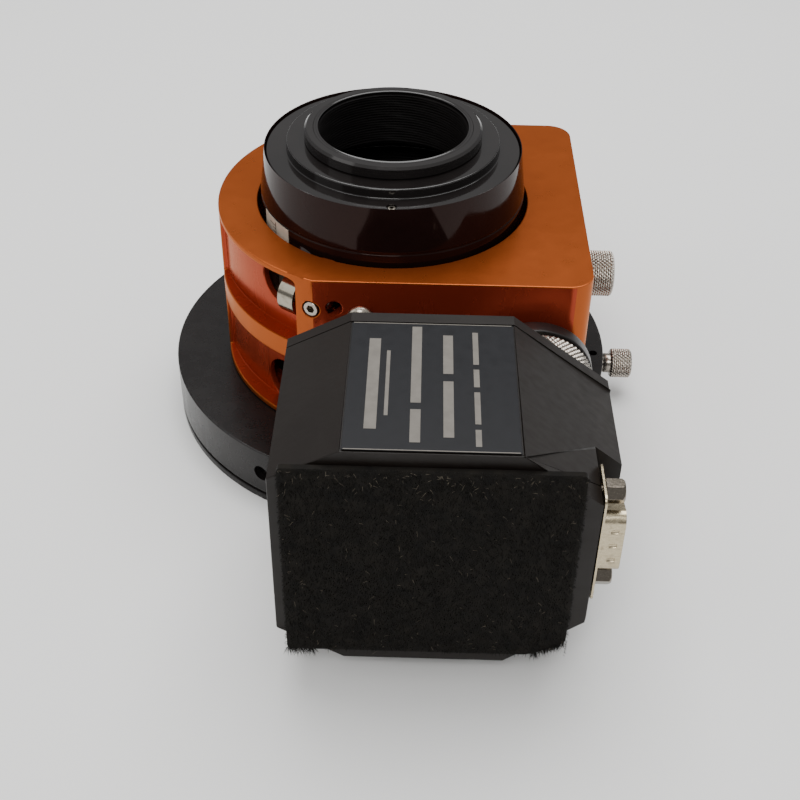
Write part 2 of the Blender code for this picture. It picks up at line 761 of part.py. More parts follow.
def motor_cover():
    back = PLATE_FRONT - GAP
    cover = box_slab("motor_cover", [BOX_OUTLINE], BOX_FRONT, back)
    notch = box("notch", (NOTCH_X, BOX_FRONT - 0.01, 0.0), (0.0640, NOTCH_Y, 0.0800))
    boolean(cover, notch)
    inner = inset_outline(BOX_OUTLINE, BOX_WALL)
    wide_room = box_slab("wide_room", [inner], NOTCH_Y + BOX_WALL, back + 0.010)
    boolean(cover, wide_room)
    narrow = clip_right(inset_outline(BOX_OUTLINE, BOX_WALL + 0.0002), NOTCH_X - BOX_WALL)
    boolean(cover, box_slab("narrow_room", [narrow], BOX_FRONT + BOX_WALL, NOTCH_Y + BOX_WALL + 0.001))
    for x, z in PLATE_SCREWS:
        boss = rod("boss", BOSS_RADIUS, 0.0095, (x, back - 0.010, z), TO_Y, 16)
        boolean(cover, boss, "UNION")
        boolean(cover, rod("boss_hole", 0.0017, 0.012, (x, back - 0.008, z), TO_Y, 12))
    port_outline = d_outline(PORT_SHELL_LENGTH, PORT_SHELL_WIDTH)
    boolean(cover, port_slab("port_opening", [port_outline], NOTCH_X - 0.004, NOTCH_X + 0.004))
    for level in (-1, 1):
        hole_start = (0.0425, PORT_Y, PORT_Z + level * JACKSCREW_SPACING / 2)
        boolean(cover, rod("jackscrew_hole", 0.0017, 0.008, hole_start, TO_X, 12))
    top = BOX_OUTLINE[0][1]
    recess = box("label_recess", (BOX_OUTLINE[0][0] + LABEL_INSET - GAP, BOX_FRONT - 0.005, top - GAP),
                 (BOX_OUTLINE[1][0] - LABEL_INSET + GAP, back + 0.005, top + 0.002))
    boolean(cover, recess)
    finish(cover, BLACK)


def cover_label():
    top = BOX_OUTLINE[0][1]
    label = box("cover_label", (BOX_OUTLINE[0][0] + LABEL_INSET, BOX_FRONT + LABEL_INSET, top),
                (BOX_OUTLINE[1][0] - LABEL_INSET, PLATE_FRONT - GAP - LABEL_INSET, top + GAP))
    finish(label, LABEL)


def hook_loop_pad():
    front = BOX_FRONT - GAP - PAD_THICK
    pad = box("hook_loop_pad", (PAD_LEFT, front, PAD_BOTTOM), (PAD_RIGHT, BOX_FRONT - GAP, PAD_TOP))
    finish(pad, FUZZ)


def plate_hardware():
    """Screws that hold the cover on the plate, and posts between plate and body."""
    for number, (x, z) in enumerate(PLATE_SCREWS, 1):
        profile = [
            (0.0, 0.0018),
            (0.0022, 0.0018),
            (0.0027, 0.0012),
            (0.0027, 0.0),
            (0.0014, 0.0),
            (0.0014, -0.0100),
            (0.0, -0.0100),
        ]
        screw = spindle(f"cover_screw_{number}", profile, (x, PLATE_BACK + GAP, z), TO_Y, 12)
        finish(screw, STEEL)
    length = -BODY_HALF_DEPTH - GAP - (PLATE_BACK + GAP)
    for number, (x, z) in enumerate(POSTS, 1):
        post = rod(f"mounting_post_{number}", 0.0040, length, (x, PLATE_BACK + GAP, z), TO_Y)
        finish(post, BLACK)


# ---------------------------------------------------------------- motor, gears and clutch
def gear_outline(teeth):
    """A spur gear's outline with straight-sided teeth and running clearance."""
    pitch = GEAR_MODULE * teeth / 2
    root = pitch - DEDENDUM
    tip = pitch + ADDENDUM
    step = 2 * math.pi / teeth
    outline = []
    for tooth in range(teeth):
        middle = tooth * step
        for share, radius in ((-0.27, root), (-0.13, tip), (0.13, tip), (0.27, root)):
            angle = middle + share * step
            outline.append((radius * math.cos(angle), radius * math.sin(angle)))
    return outline


def clutch_stack():
    """The slip clutch on the shaft: hub, gear, friction washer, spring and nut."""
    sleeve = 0.0050
    bore = sleeve + GAP
    face = -0.0680
    hub_profile = [
        (0.0090, face),
        (0.0090, GEAR_Y + GAP),
        (sleeve, GEAR_Y + GAP),
        (sleeve, -0.0870),
        (SHAFT_RADIUS + GAP, -0.0870),
        (SHAFT_RADIUS + GAP, face),
    ]
    axis = (SHAFT_X, 0, SHAFT_Z)
    finish(turned("clutch_hub", hub_profile, axis, TO_Y, 24), BRASS)
    gear_front = GEAR_Y - GEAR_FACE
    gear = flat_solid("clutch_gear", [gear_outline(GEAR_TEETH), circle(bore, 24)], GEAR_FACE,
                      (SHAFT_X, gear_front, SHAFT_Z), TO_Y)
    finish(gear, BRASS)
    washer_back = gear_front - GAP
    washer_front = washer_back - 0.0012
    washer = [(0.0085, washer_back), (0.0085, washer_front), (bore, washer_front), (bore, washer_back)]
    finish(turned("clutch_washer", washer, axis, TO_Y, 24), PLASTIC)
    spring_back = washer_front - GAP
    cone = 0.0014
    sheet = 0.0007
    spring = [
        (0.0080, spring_back),
        (0.0080, spring_back - sheet),
        (bore, spring_back - cone - sheet),
        (bore, spring_back - cone),
    ]
    finish(turned("clutch_spring", spring, axis, TO_Y, 24), STEEL)
    nut_back = spring_back - cone - sheet - GAP
    nut = flat_solid("clutch_nut", [circle(0.0080, 6), circle(bore, 24)], 0.0035,
                     (SHAFT_X, nut_back - 0.0035, SHAFT_Z), TO_Y)
    finish(nut, STEEL)


def motor_pinion():
    """The pinion and its spindle, turned half a tooth so that it meshes."""
    half_tooth = Matrix.Rotation(math.pi / PINION_TEETH, 4, "Z")
    pinion = flat_solid("motor_pinion", [gear_outline(PINION_TEETH)], GEAR_FACE,
                        (PINION_X, GEAR_Y - GEAR_FACE, SHAFT_Z), TO_Y @ half_tooth)
    spindle_start = (PINION_X, GEAR_Y - 0.0120, SHAFT_Z)
    boolean(pinion, rod("pinion_spindle", 0.0020, 0.0090, spindle_start, TO_Y, 16), "UNION")
    finish(pinion, BRASS)


def motor_bracket():
    """A plate on four posts that holds the gearhead away from the gears."""
    plate_front = -0.0823
    plate_back = -0.0800
    outline = [(-0.0125, 0.0190), (0.0278, 0.0190), (0.0278, 0.0630), (-0.0125, 0.0630)]
    hole = circle(0.0040, 20, (PINION_X, SHAFT_Z))
    bracket = box_slab("motor_bracket", [outline, hole], plate_front, plate_back)
    for x, z in ((-0.0090, 0.0225), (-0.0090, 0.0595), (0.0243, 0.0225), (0.0230, 0.0595)):
        length = PLATE_FRONT - GAP - (plate_back - 0.001)
        boolean(bracket, rod("bracket_post", 0.0030, length, (x, plate_back - 0.001, z), TO_Y, 12), "UNION")
    finish(bracket, STEEL)


def stepper():
    back = -0.0826
    gear_length = 0.0100
    can_length = 0.0160
    gearhead = rod("gearhead", MOTOR_RADIUS, gear_length, (MOTOR_X, back - gear_length, MOTOR_Z), TO_Y, 40)
    recess = rod("spindle_recess", 0.0024, 0.004, (PINION_X, back - 0.002, SHAFT_Z), TO_Y, 16)
    boolean(gearhead, recess)
    finish(gearhead, NICKEL)
    motor = rod("stepper_motor", MOTOR_RADIUS, can_length,
                (MOTOR_X, back - gear_length - GAP - can_length, MOTOR_Z), TO_Y, 40)
    finish(motor, STEEL)


# ---------------------------------------------------------------- connector and board
def d_outline(length, width, shrink=0.0):
    """A D-shaped outline with round corners: long side along Z, wide side at -Y."""
    corner = 0.0026 - shrink
    wide = length / 2 - 0.0026
    slant = 0.0007
    reach = width / 2 - 0.0026
    outline = arc((-wide, -reach), corner, 180, 270, 4)
    outline += arc((wide, -reach), corner, 270, 360, 4)
    outline += arc((wide - slant, reach), corner, 0, 90, 4)
    outline += arc((slant - wide, reach), corner, 90, 180, 4)
    return outline


def port_slab(name, outlines, start, end):
    """A slab from outlines in (z, y) about the port's centre, between two x positions."""
    turn = Matrix(((0, 0, 1, 0), (0, 1, 0, 0), (-1, 0, 0, 0), (0, 0, 0, 1)))
    return flat_solid(name, outlines, end - start, (start, PORT_Y, PORT_Z), turn)


def connector():
    wall = 0.0005
    flange_back = NOTCH_X + GAP
    flange_front = flange_back + 0.0005
    tip = NOTCH_X + PORT_SHELL_REACH
    half_long = PORT_FLANGE_LENGTH / 2 - 0.0015
    half_wide = PORT_FLANGE_WIDTH / 2 - 0.0015
    rim = []
    for quarter, (x, y) in enumerate(((1, 1), (-1, 1), (-1, -1), (1, -1))):
        rim += arc((x * half_long, y * half_wide), 0.0015, 90 * quarter, 90 * quarter + 90, 3)
    shell_outline = d_outline(PORT_SHELL_LENGTH, PORT_SHELL_WIDTH)
    room_outline = d_outline(PORT_SHELL_LENGTH, PORT_SHELL_WIDTH, wall)
    shell = port_slab("connector_shell", [rim], flange_back, flange_front)
    boolean(shell, port_slab("shell_tube", [shell_outline], flange_back + 0.0002, tip), "UNION")
    boolean(shell, port_slab("shell_room", [room_outline], flange_back - 0.002, tip + 0.002))
    for level in (-1, 1):
        at = (flange_back - 0.002, PORT_Y, PORT_Z + level * JACKSCREW_SPACING / 2)
        boolean(shell, rod("flange_hole", 0.0017, 0.006, at, TO_X, 12))
        screw_at = (flange_front + GAP, PORT_Y, PORT_Z + level * JACKSCREW_SPACING / 2)
        name = "connector_jackscrew_" + ("upper" if level > 0 else "lower")
        flats_up = TO_X @ Matrix.Rotation(math.pi / 6, 4, "Z")
        screw = rod(name, JACKSCREW_ACROSS_FLATS / math.sqrt(3), 0.0041, screw_at, flats_up, 6)
        shank = rod(name + "_shank", 0.0014, 0.0065, (0.0440, screw_at[1], screw_at[2]), TO_X, 12)
        boolean(screw, shank, "UNION")
        socket = rod(name + "_thread", 0.0012, 0.0050, (0.0496, screw_at[1], screw_at[2]), TO_X, 12)
        boolean(screw, socket)
        finish(screw, NICKEL)
    finish(shell, NICKEL)
    core_front = flange_front + 0.0008
    core = port_slab("connector_insulator", [d_outline(PORT_SHELL_LENGTH, PORT_SHELL_WIDTH, wall + GAP)],
                     0.0407, core_front)
    for row, count in ((-1, 5), (1, 4)):
        for place_in_row in range(count):
            pin_z = PORT_Z + (place_in_row - (count - 1) / 2) * PIN_PITCH
            pin_start = (core_front - 0.0010, PORT_Y + row * PIN_ROWS / 2, pin_z)
            pin = rod("contact_pin", PIN_RADIUS, tip - 0.0006 - pin_start[0], pin_start, TO_X, 8)
            boolean(core, pin, "UNION")
    finish(core, PLASTIC)
    board = box("circuit_board", (0.0388, -0.1086, 0.0280), (0.0404, -0.0955, 0.0575))
    finish(board, BOARD)


def front_face_screw():
    """The round-headed screw on the front flat of the body."""
    profile = [
        (0.0, 0.0022),
        (0.0021, 0.0020),
        (0.0035, 0.0011),
        (0.0035, 0.0),
        (0.0015, 0.0),
        (0.0015, -0.0060),
        (0.0, -0.0060),
    ]
    at = (FACE_SCREW_X, -BODY_HALF_DEPTH - GAP, FACE_SCREW_Z)
    finish(spindle("front_face_screw", profile, at, TO_Y.inverted(), 16), STEEL)


# ---------------------------------------------------------------- assembly
base_flange()
clamp_thumbscrew("flange_thumbscrew_right", RIGHT_CLAMP_DEG)
clamp_thumbscrew("flange_thumbscrew_back", BACK_CLAMP_DEG)
socket_screw("flange_set_screw", CLAMP_SCREW_RADIUS, 0.0180, on_circle(SET_SCREW_DEG, 0.0605, CLAMP_Z),
             radial(SET_SCREW_DEG))
focuser_body()
body_spigot()
for index, (bearing_side, bearing_level) in enumerate(BEARINGS, 1):
    bearing_set(index, bearing_side, bearing_level)
drawtube()
drive_strip()
scale_strip()
thread_adapter()
adapter_neck()
socket_screw("adapter_set_screw", 0.0010, 0.0025,
             on_circle(ADAPTER_SCREW_DEG, ADAPTER_SCREW_AT, 0.0795), UPRIGHT)
drive_shaft()
shaft_bush("shaft_bush_front", -1)
shaft_bush("shaft_bush_back", 1)
shaft_pressure_block()
tension_knob()
coarse_knob("front_knob", -1)
coarse_knob("back_knob", 1)
motor_back_plate()
motor_cover()
cover_label()
hook_loop_pad()
plate_hardware()
clutch_stack()
motor_pinion()
motor_bracket()
stepper()
connector()
front_face_screw()
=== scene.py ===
"""Studio scene for a motorised telescope focuser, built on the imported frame.

All lengths are in metres in the part's own frame: the optical axis is Z, the flange's
underside is z = 0, the drive shaft runs along Y on the +X side, and the motor box is
on the -Y side.
"""

import math
import random

import bmesh
import bpy
from mathutils import Matrix, Vector


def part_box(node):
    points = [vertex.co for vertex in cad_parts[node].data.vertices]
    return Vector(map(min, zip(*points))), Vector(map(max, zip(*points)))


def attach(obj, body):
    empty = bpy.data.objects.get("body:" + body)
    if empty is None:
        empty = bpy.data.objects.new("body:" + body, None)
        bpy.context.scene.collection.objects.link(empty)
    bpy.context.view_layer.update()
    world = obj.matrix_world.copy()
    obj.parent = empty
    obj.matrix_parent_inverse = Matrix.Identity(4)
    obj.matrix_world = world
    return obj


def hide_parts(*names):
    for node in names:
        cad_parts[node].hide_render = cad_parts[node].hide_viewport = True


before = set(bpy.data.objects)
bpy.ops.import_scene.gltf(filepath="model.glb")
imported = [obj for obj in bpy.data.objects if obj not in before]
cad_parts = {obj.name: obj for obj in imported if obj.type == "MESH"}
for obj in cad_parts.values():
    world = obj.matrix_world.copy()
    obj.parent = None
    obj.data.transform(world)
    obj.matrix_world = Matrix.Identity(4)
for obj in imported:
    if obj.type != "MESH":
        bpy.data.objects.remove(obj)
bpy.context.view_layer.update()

TAU = 2 * math.pi
GAP = 0.0003                    # the frame's clearance between touching pieces
SOCKET_PROUD = 0.001            # how far a socket's cutter stands out of the screw
SCREW_KNURL_PITCH = 0.00125
SCREW_THREAD_PITCH = 0.0007
ROUND = 192                     # facets on the large turned pieces
SMALL_ROUND = 48                # facets on the small turned pieces
UPRIGHT = Matrix.Identity(4)
TO_X = Matrix.Rotation(math.radians(90), 4, "Y")
TO_Y = Matrix.Rotation(math.radians(-90), 4, "X")
TO_MINUS_Y = Matrix.Rotation(math.radians(90), 4, "X")

# camera
CAMERA_AT = (0.0072, -0.3009, 0.2367)
CAMERA_DOWN = math.radians(39.0)
CAMERA_SIDEWAYS = math.radians(0.8)
CAMERA_ROLL = math.radians(1.0)
CAMERA_LENS = 56.53


# ---------------------------------------------------------------- camera
def add_camera():
    """A camera in front of the motor box, looking down at the object."""
    flat = math.cos(CAMERA_DOWN)
    ahead = Vector((-math.sin(CAMERA_SIDEWAYS) * flat, math.cos(CAMERA_SIDEWAYS) * flat,
                    -math.sin(CAMERA_DOWN)))
    level = ahead.cross(Vector((0, 0, 1))).normalized()
    rise = level.cross(ahead)
    right = level * math.cos(CAMERA_ROLL) + rise * math.sin(CAMERA_ROLL)
    up = rise * math.cos(CAMERA_ROLL) - level * math.sin(CAMERA_ROLL)
    lens = bpy.data.cameras.new("photo_camera")
    lens.lens = CAMERA_LENS
    lens.sensor_width = 36.0
    lens.clip_start = 0.01
    camera = bpy.data.objects.new("photo_camera", lens)
    bpy.context.scene.collection.objects.link(camera)
    columns = Matrix((right, up, -ahead)).transposed()
    camera.matrix_world = Matrix.Translation(CAMERA_AT) @ columns.to_4x4()
    bpy.context.scene.camera = camera


add_camera()


# ---------------------------------------------------------------- material helpers
class Recipe:
    """A Principled material that is filled in one node at a time, on a millimetre grid."""

    def __init__(self, name, values):
        self.material = bpy.data.materials.new(name)
        self.material.use_nodes = True
        self.tree = self.material.node_tree
        self.shader = self.tree.nodes["Principled BSDF"]
        for key, value in values.items():
            self.shader.inputs[key].default_value = value
        place = self.tree.nodes.new("ShaderNodeTexCoord")
        self.millimetres = self.node("ShaderNodeVectorMath", {0: place.outputs["Object"],
                                                              1: (1000, 1000, 1000)},
                                     operation="MULTIPLY").outputs[0]

    def node(self, kind, inputs=None, **settings):
        """A node with its settings made and its inputs linked or filled in."""
        made = self.tree.nodes.new(kind)
        for key, value in settings.items():
            setattr(made, key, value)
        for key, value in (inputs or {}).items():
            if isinstance(value, bpy.types.NodeSocket):
                self.tree.links.new(value, made.inputs[key])
            else:
                made.inputs[key].default_value = value
        return made

    def noise(self, per_mm, detail=3.0, stretch=(1, 1, 1), roughness=0.5):
        """Smooth noise with so many features a millimetre."""
        grid = self.node("ShaderNodeVectorMath", {0: self.millimetres, 1: stretch},
                         operation="MULTIPLY").outputs[0]
        return self.node("ShaderNodeTexNoise", {"Vector": grid, "Scale": per_mm, "Detail": detail,
                                                "Roughness": roughness}).outputs["Fac"]

    def spread(self, value, low, high, start=0.3, end=0.7):
        """A value carried from one range to another."""
        return self.node("ShaderNodeMapRange", {"Value": value, "From Min": start,
                                                "From Max": end, "To Min": low,
                                                "To Max": high}).outputs["Result"]

    def blend(self, value, *stops):
        """A colour ramp through (place, colour) stops."""
        ramp = self.node("ShaderNodeValToRGB", {"Fac": value})
        band = ramp.color_ramp
        while len(band.elements) < len(stops):
            band.elements.new(0.5)
        for element, (place, colour) in zip(band.elements, stops):
            element.position = place
            element.color = (*colour, 1.0)
        return ramp.outputs["Color"]

    def mix(self, share, first, second):
        """One colour or the other, by a share from 0 to 1."""
        made = self.node("ShaderNodeMix", {"Factor": share}, data_type="RGBA")
        for index, value in ((6, first), (7, second)):
            if isinstance(value, bpy.types.NodeSocket):
                self.tree.links.new(value, made.inputs[index])
            else:
                made.inputs[index].default_value = (*value, 1.0)
        return made.outputs[2]

    def math(self, operation, first, second=0.0, third=0.0):
        """The result of a maths node."""
        made = self.node("ShaderNodeMath", {0: first, 1: second, 2: third}, operation=operation)
        return made.outputs[0]

    def wire(self, socket, value):
        """Feeds one of the shader's sockets."""
        self.tree.links.new(value, self.shader.inputs[socket])

    def bump(self, *layers):
        """Surface relief from (height, millimetres deep) layers."""
        normal = None
        for height, depth in layers:
            inputs = {"Height": height, "Distance": depth / 1000, "Strength": 1.0}
            if normal is not None:
                inputs["Normal"] = normal
            normal = self.node("ShaderNodeBump", inputs).outputs["Normal"]
        self.wire("Normal", normal)

    def turning_marks(self, per_mm):
        """Fine rings round the object's own Z axis."""
        parts = self.node("ShaderNodeSeparateXYZ", {0: self.millimetres})
        across = self.math("MULTIPLY", parts.outputs["X"], parts.outputs["X"])
        across = self.math("MULTIPLY_ADD", parts.outputs["Y"], parts.outputs["Y"], across)
        across = self.math("SQRT", across)
        along = self.math("ADD", parts.outputs["Z"], across)
        wave = self.math("SINE", self.math("MULTIPLY", along, per_mm * TAU))
        return self.math("MULTIPLY_ADD", wave, 0.5, 0.5)


def anodised(name, bright, deep, roughness, metallic):
    """Dyed anodised aluminium: a fine blasted grain, faint cloudiness and handling marks."""
    recipe = Recipe(name, {"Metallic": metallic, "Specular Tint": (1.0, 0.60, 0.34, 1.0),
                           "Coat Weight": 0.035, "Coat Roughness": 0.15})
    cloud = recipe.noise(0.05, 3.0)
    recipe.wire("Base Color", recipe.blend(cloud, (0.3, deep), (0.7, bright)))
    smudge = recipe.noise(0.25, 5.0, (1.0, 1.0, 0.4))
    recipe.wire("Roughness", recipe.spread(smudge, roughness - 0.03, roughness + 0.03))
    recipe.bump((recipe.noise(6.0, 1.0), 0.0016), (recipe.noise(2.0, 1.0), 0.0008))
    return recipe.material


def black_anodised(name, roughness, tone=0.0066, rings=True, specks=0.10, gloss=1.45,
                   cast=(1.0, 0.81, 0.78), tint=(1.0, 1.0, 1.0)):
    """Black anodised aluminium with turning marks and pale handling specks; gloss is its IOR."""
    recipe = Recipe(name, {"Metallic": 0.0, "IOR": gloss, "Specular Tint": (*tint, 1.0)})
    cloud = recipe.noise(0.09, 4.0)
    low, high = (tuple(tone * level * share for share in cast) for level in (1.15, 1.6))
    body = recipe.blend(cloud, (0.35, low), (0.7, high))
    share = recipe.spread(recipe.noise(2.6, 1.0), 0.0, specks, 0.76, 0.82)
    recipe.wire("Base Color", recipe.mix(share, body, (0.16, 0.145, 0.13)))
    smudge = recipe.noise(0.3, 5.0, (1.0, 1.0, 0.5))
    recipe.wire("Roughness", recipe.spread(smudge, roughness - 0.02, roughness + 0.05))
    layers = [(recipe.noise(8.0, 2.0), 0.0005)]
    if rings:
        layers.append((recipe.turning_marks(3.2), 0.00025))
    recipe.bump(*layers)
    return recipe.material


def bare_metal(name, bright, dull, roughness, streaks=(1, 1, 1), grime=(0.10, 0.08, 0.06)):
    """Machined metal: brushed streaks, a little tarnish and dirt in its low spots."""
    recipe = Recipe(name, {"Metallic": 1.0})
    streak = recipe.noise(3.0, 4.0, streaks, 0.6)
    body = recipe.blend(streak, (0.3, dull), (0.7, bright))
    stain = recipe.noise(0.7, 4.0)
    recipe.wire("Base Color", recipe.mix(recipe.spread(stain, 0.0, 0.35, 0.56, 0.72), body, grime))
    recipe.wire("Roughness", recipe.spread(streak, roughness - 0.06, roughness + 0.10))
    recipe.bump((streak, 0.0030), (recipe.noise(14.0, 2.0), 0.0015))
    return recipe.material


def moulded(name, tone, roughness, grain=0.004, gloss=0.4):
    """Moulded plastic or film with a fine even grain."""
    recipe = Recipe(name, {"Metallic": 0.0, "Specular IOR Level": gloss})
    cloud = recipe.noise(0.4, 3.0)
    darker = tuple(value * 0.82 for value in tone)
    recipe.wire("Base Color", recipe.blend(cloud, (0.3, darker), (0.7, tone)))
    recipe.wire("Roughness", recipe.spread(cloud, roughness - 0.05, roughness + 0.06))
    recipe.bump((recipe.noise(11.0, 2.0), grain))
    return recipe.material


def sheet_coating(name):
    """The motor box's satin black coating, with a fine orange-peel grain and faint scuffs."""
    recipe = Recipe(name, {"Metallic": 0.0, "IOR": 1.33})
    cloud = recipe.noise(0.05, 4.0)
    body = recipe.blend(cloud, (0.3, (0.0086, 0.0062, 0.0050)), (0.7, (0.0120, 0.0090, 0.0073)))
    speck = recipe.noise(3.1, 1.0)
    recipe.wire("Base Color", recipe.mix(recipe.spread(speck, 0.0, 0.25, 0.77, 0.83), body,
                                         (0.12, 0.105, 0.09)))
    scuff = recipe.noise(0.5, 5.0, (0.25, 1.0, 1.0))
    recipe.wire("Roughness", recipe.spread(scuff, 0.36, 0.50))
    recipe.bump((recipe.noise(5.0, 2.0), 0.0045), (recipe.noise(1.2, 2.0), 0.0015))
    return recipe.material


def loop_pile(name, root, tip):
    """Nylon loop fibres, varied from clump to clump."""
    recipe = Recipe(name, {"Metallic": 0.0, "Roughness": 0.85, "Specular IOR Level": 0.15,
                           "Sheen Weight": 0.04, "Sheen Roughness": 0.5})
    clump = recipe.noise(0.35, 4.0)
    recipe.wire("Base Color", recipe.blend(clump, (0.3, root), (0.72, tip)))
    recipe.bump((recipe.noise(7.0, 2.0), 0.02))
    return recipe.material


def board_green(name):
    """Green solder mask over faint copper traces."""
    recipe = Recipe(name, {"Metallic": 0.0, "Roughness": 0.35, "Coat Weight": 0.3})
    trace = recipe.math("SINE", recipe.math("MULTIPLY", recipe.noise(0.4, 0.0), 60.0))
    share = recipe.spread(trace, 0.0, 1.0, 0.55, 0.75)
    recipe.wire("Base Color", recipe.mix(share, (0.012, 0.10, 0.040), (0.03, 0.20, 0.08)))
    recipe.bump((share, 0.02))
    return recipe.material


ORANGE = anodised("orange_anodised", (0.37, 0.080, 0.0160), (0.33, 0.069, 0.0135), 0.30, 0.70)
# A redder, darker copy of the orange finish for the front and back faces, windows and bore: painted
# shade and painted reflection of the dark surroundings.
ORANGE_PAINTED_SHADE = anodised("orange_anodised_painted_shade", (0.35, 0.042, 0.0175), (0.31, 0.036, 0.0150),
                       0.26, 0.58)
BLACK = black_anodised("black_anodised", 0.085, gloss=1.58)
# The tube's red cast and red-tinted specular are a painted reflection of the orange body.
BLACK_TUBE_PAINTED_REFLECTION = black_anodised("black_anodised_tube_painted_reflection", 0.06, tone=0.0085, specks=0.04, gloss=1.28,
                            cast=(1.0, 0.42, 0.36), tint=(1.0, 0.72, 0.66))
BLACK_SATIN = black_anodised("black_anodised_satin", 0.26, gloss=1.34)
BLACK_FLAT = black_anodised("black_anodised_plain", 0.32, rings=False)
# The bore's copy is darker and rougher; its darker tone is painted shade inside the bore.
BLACK_BORE_PAINTED_SHADE = black_anodised("black_anodised_bore_painted_shade", 0.50, tone=0.0036, specks=0.0, gloss=1.16)
COATING = sheet_coating("satin_black_coating")
STEEL = bare_metal("bright_steel", (0.48, 0.44, 0.38), (0.33, 0.30, 0.25), 0.24)
KNURLED = bare_metal("knurled_steel", (0.48, 0.44, 0.39), (0.33, 0.30, 0.26), 0.20)
POLISHED = bare_metal("polished_steel", (0.42, 0.385, 0.315), (0.31, 0.28, 0.22), 0.12, (1, 1, 6))
BLACK_OXIDE = bare_metal("black_oxide_steel", (0.06, 0.055, 0.05), (0.03, 0.028, 0.026), 0.34)
NICKEL = bare_metal("nickel_plate", (0.60, 0.52, 0.37), (0.44, 0.37, 0.25), 0.24, (1, 1, 0.3))
PLATED = bare_metal("plated_steel", (0.25, 0.22, 0.18), (0.20, 0.175, 0.145), 0.18)
BRASS = bare_metal("brass", (0.72, 0.52, 0.22), (0.52, 0.36, 0.14), 0.28)
GOLD = bare_metal("gold_plate", (0.86, 0.64, 0.28), (0.74, 0.50, 0.20), 0.20)
TAPE = moulded("scale_tape", (0.60, 0.53, 0.43), 0.55)
INK = moulded("scale_ink", (0.02, 0.02, 0.02), 0.60)
LABEL = moulded("label_film", (0.0095, 0.0098, 0.0120), 0.38, 0.003, 0.18)
LABEL_INK = moulded("label_print", (0.19, 0.175, 0.155), 0.50, 0.002, 0.2)
PLASTIC = moulded("black_plastic", (0.016, 0.015, 0.014), 0.45, 0.006)
FABRIC = loop_pile("hook_loop_pile", (0.0030, 0.0025, 0.0019), (0.0105, 0.0085, 0.0062))
LINT = loop_pile("pile_lint", (0.06, 0.052, 0.040), (0.20, 0.17, 0.13))
BOARD = board_green("circuit_board")


# ---------------------------------------------------------------- mesh helpers
def new_object(name, shape, location=(0, 0, 0), turn=UPRIGHT):
    """An object from a bmesh, at a place and turn in the part's frame."""
    mesh = bpy.data.meshes.new(name)
    bmesh.ops.recalc_face_normals(shape, faces=shape.faces)
    shape.to_mesh(mesh)
    shape.free()
    obj = bpy.data.objects.new(name, mesh)
    bpy.context.scene.collection.objects.link(obj)
    obj.matrix_world = Matrix.Translation(Vector(location)) @ turn
    return obj


def revolve(name, stations, location=(0, 0, 0), turn=UPRIGHT, around=ROUND, pattern=None):
    """Turns stations of (radius, height) about the object's own Z axis.

    A third number is how far pattern(angle, height), from 0 to 1, cuts in there.
    The last station joins the first, unless both lie on the axis.
    """
    shape = bmesh.new()
    loops = []
    for radius, height, *cut in stations:
        if radius == 0.0:
            loops.append([shape.verts.new((0, 0, height))])
            continue
        loop = []
        for step in range(around):
            angle = TAU * step / around
            reach = radius - cut[0] * pattern(angle, height) if cut else radius
            loop.append(shape.verts.new((reach * math.cos(angle), reach * math.sin(angle), height)))
        loops.append(loop)
    pairs = list(zip(loops, loops[1:]))
    if stations[0][0] > 0.0:
        pairs.append((loops[-1], loops[0]))
    for upper, lower in pairs:
        for step in range(around):
            following = (step + 1) % around
            corners = (upper[step % len(upper)], upper[following % len(upper)],
                       lower[following % len(lower)], lower[step % len(lower)])
            shape.faces.new(dict.fromkeys(corners))
    return new_object(name, shape, location, turn)


def eased(points, size, closed=True, bends=3):
    """The points of an outline or profile, with each corner rounded off."""
    result = []
    count = len(points)
    for index, point in enumerate(points):
        if not closed and index in (0, count - 1):
            result.append(tuple(point))
            continue
        here = Vector(point)
        before = Vector(points[index - 1]) - here
        after = Vector(points[(index + 1) % count]) - here
        start = here + before.normalized() * min(size, before.length * 0.45)
        end = here + after.normalized() * min(size, after.length * 0.45)
        for bend in range(bends + 1):
            share = bend / bends
            result.append(tuple(start.lerp(here, share).lerp(here.lerp(end, share), share)))
    return result


def rod(name, radius, start, end, ease, location, turn):
    """A plain round bar with eased ends, between two heights along its own Z axis."""
    profile = [(0.0, start), (radius, start), (radius, end), (0.0, end)]
    return revolve(name, eased(profile, ease, closed=False), location, turn, SMALL_ROUND)


def arc(centre, radius, start_deg, end_deg, count):
    """Points along an arc, both ends included."""
    sweep = end_deg - start_deg
    angles = [math.radians(start_deg + sweep * i / count) for i in range(count + 1)]
    return [(centre[0] + radius * math.cos(a), centre[1] + radius * math.sin(a)) for a in angles]


def prism(name, outline, low, high, location=(0, 0, 0), turn=UPRIGHT):
    """A slab on a flat outline, from one height to another along its own Z axis."""
    shape = bmesh.new()
    floor = [shape.verts.new((x, y, low)) for x, y in outline]
    roof = [shape.verts.new((x, y, high)) for x, y in outline]
    shape.faces.new(floor)
    shape.faces.new(roof)
    for i in range(len(outline)):
        shape.faces.new((floor[i - 1], floor[i], roof[i], roof[i - 1]))
    return new_object(name, shape, location, turn)


def block(name, low, high):
    """A box between two corners."""
    low = Vector(low)
    high = Vector(high)
    shape = bmesh.new()
    bmesh.ops.create_cube(shape, size=1.0, matrix=Matrix.Diagonal((*(high - low), 1.0)))
    return new_object(name, shape, (low + high) / 2)


def drill(radius, length, location=(0, 0, 0), turn=UPRIGHT, sides=SMALL_ROUND):
    """A cylinder for cutting a hole, from its location along its own Z axis."""
    shape = bmesh.new()
    bmesh.ops.create_cone(shape, cap_ends=True, segments=sides, radius1=radius, radius2=radius,
                          depth=length, matrix=Matrix.Translation((0, 0, length / 2)))
    return new_object("drill", shape, location, turn)


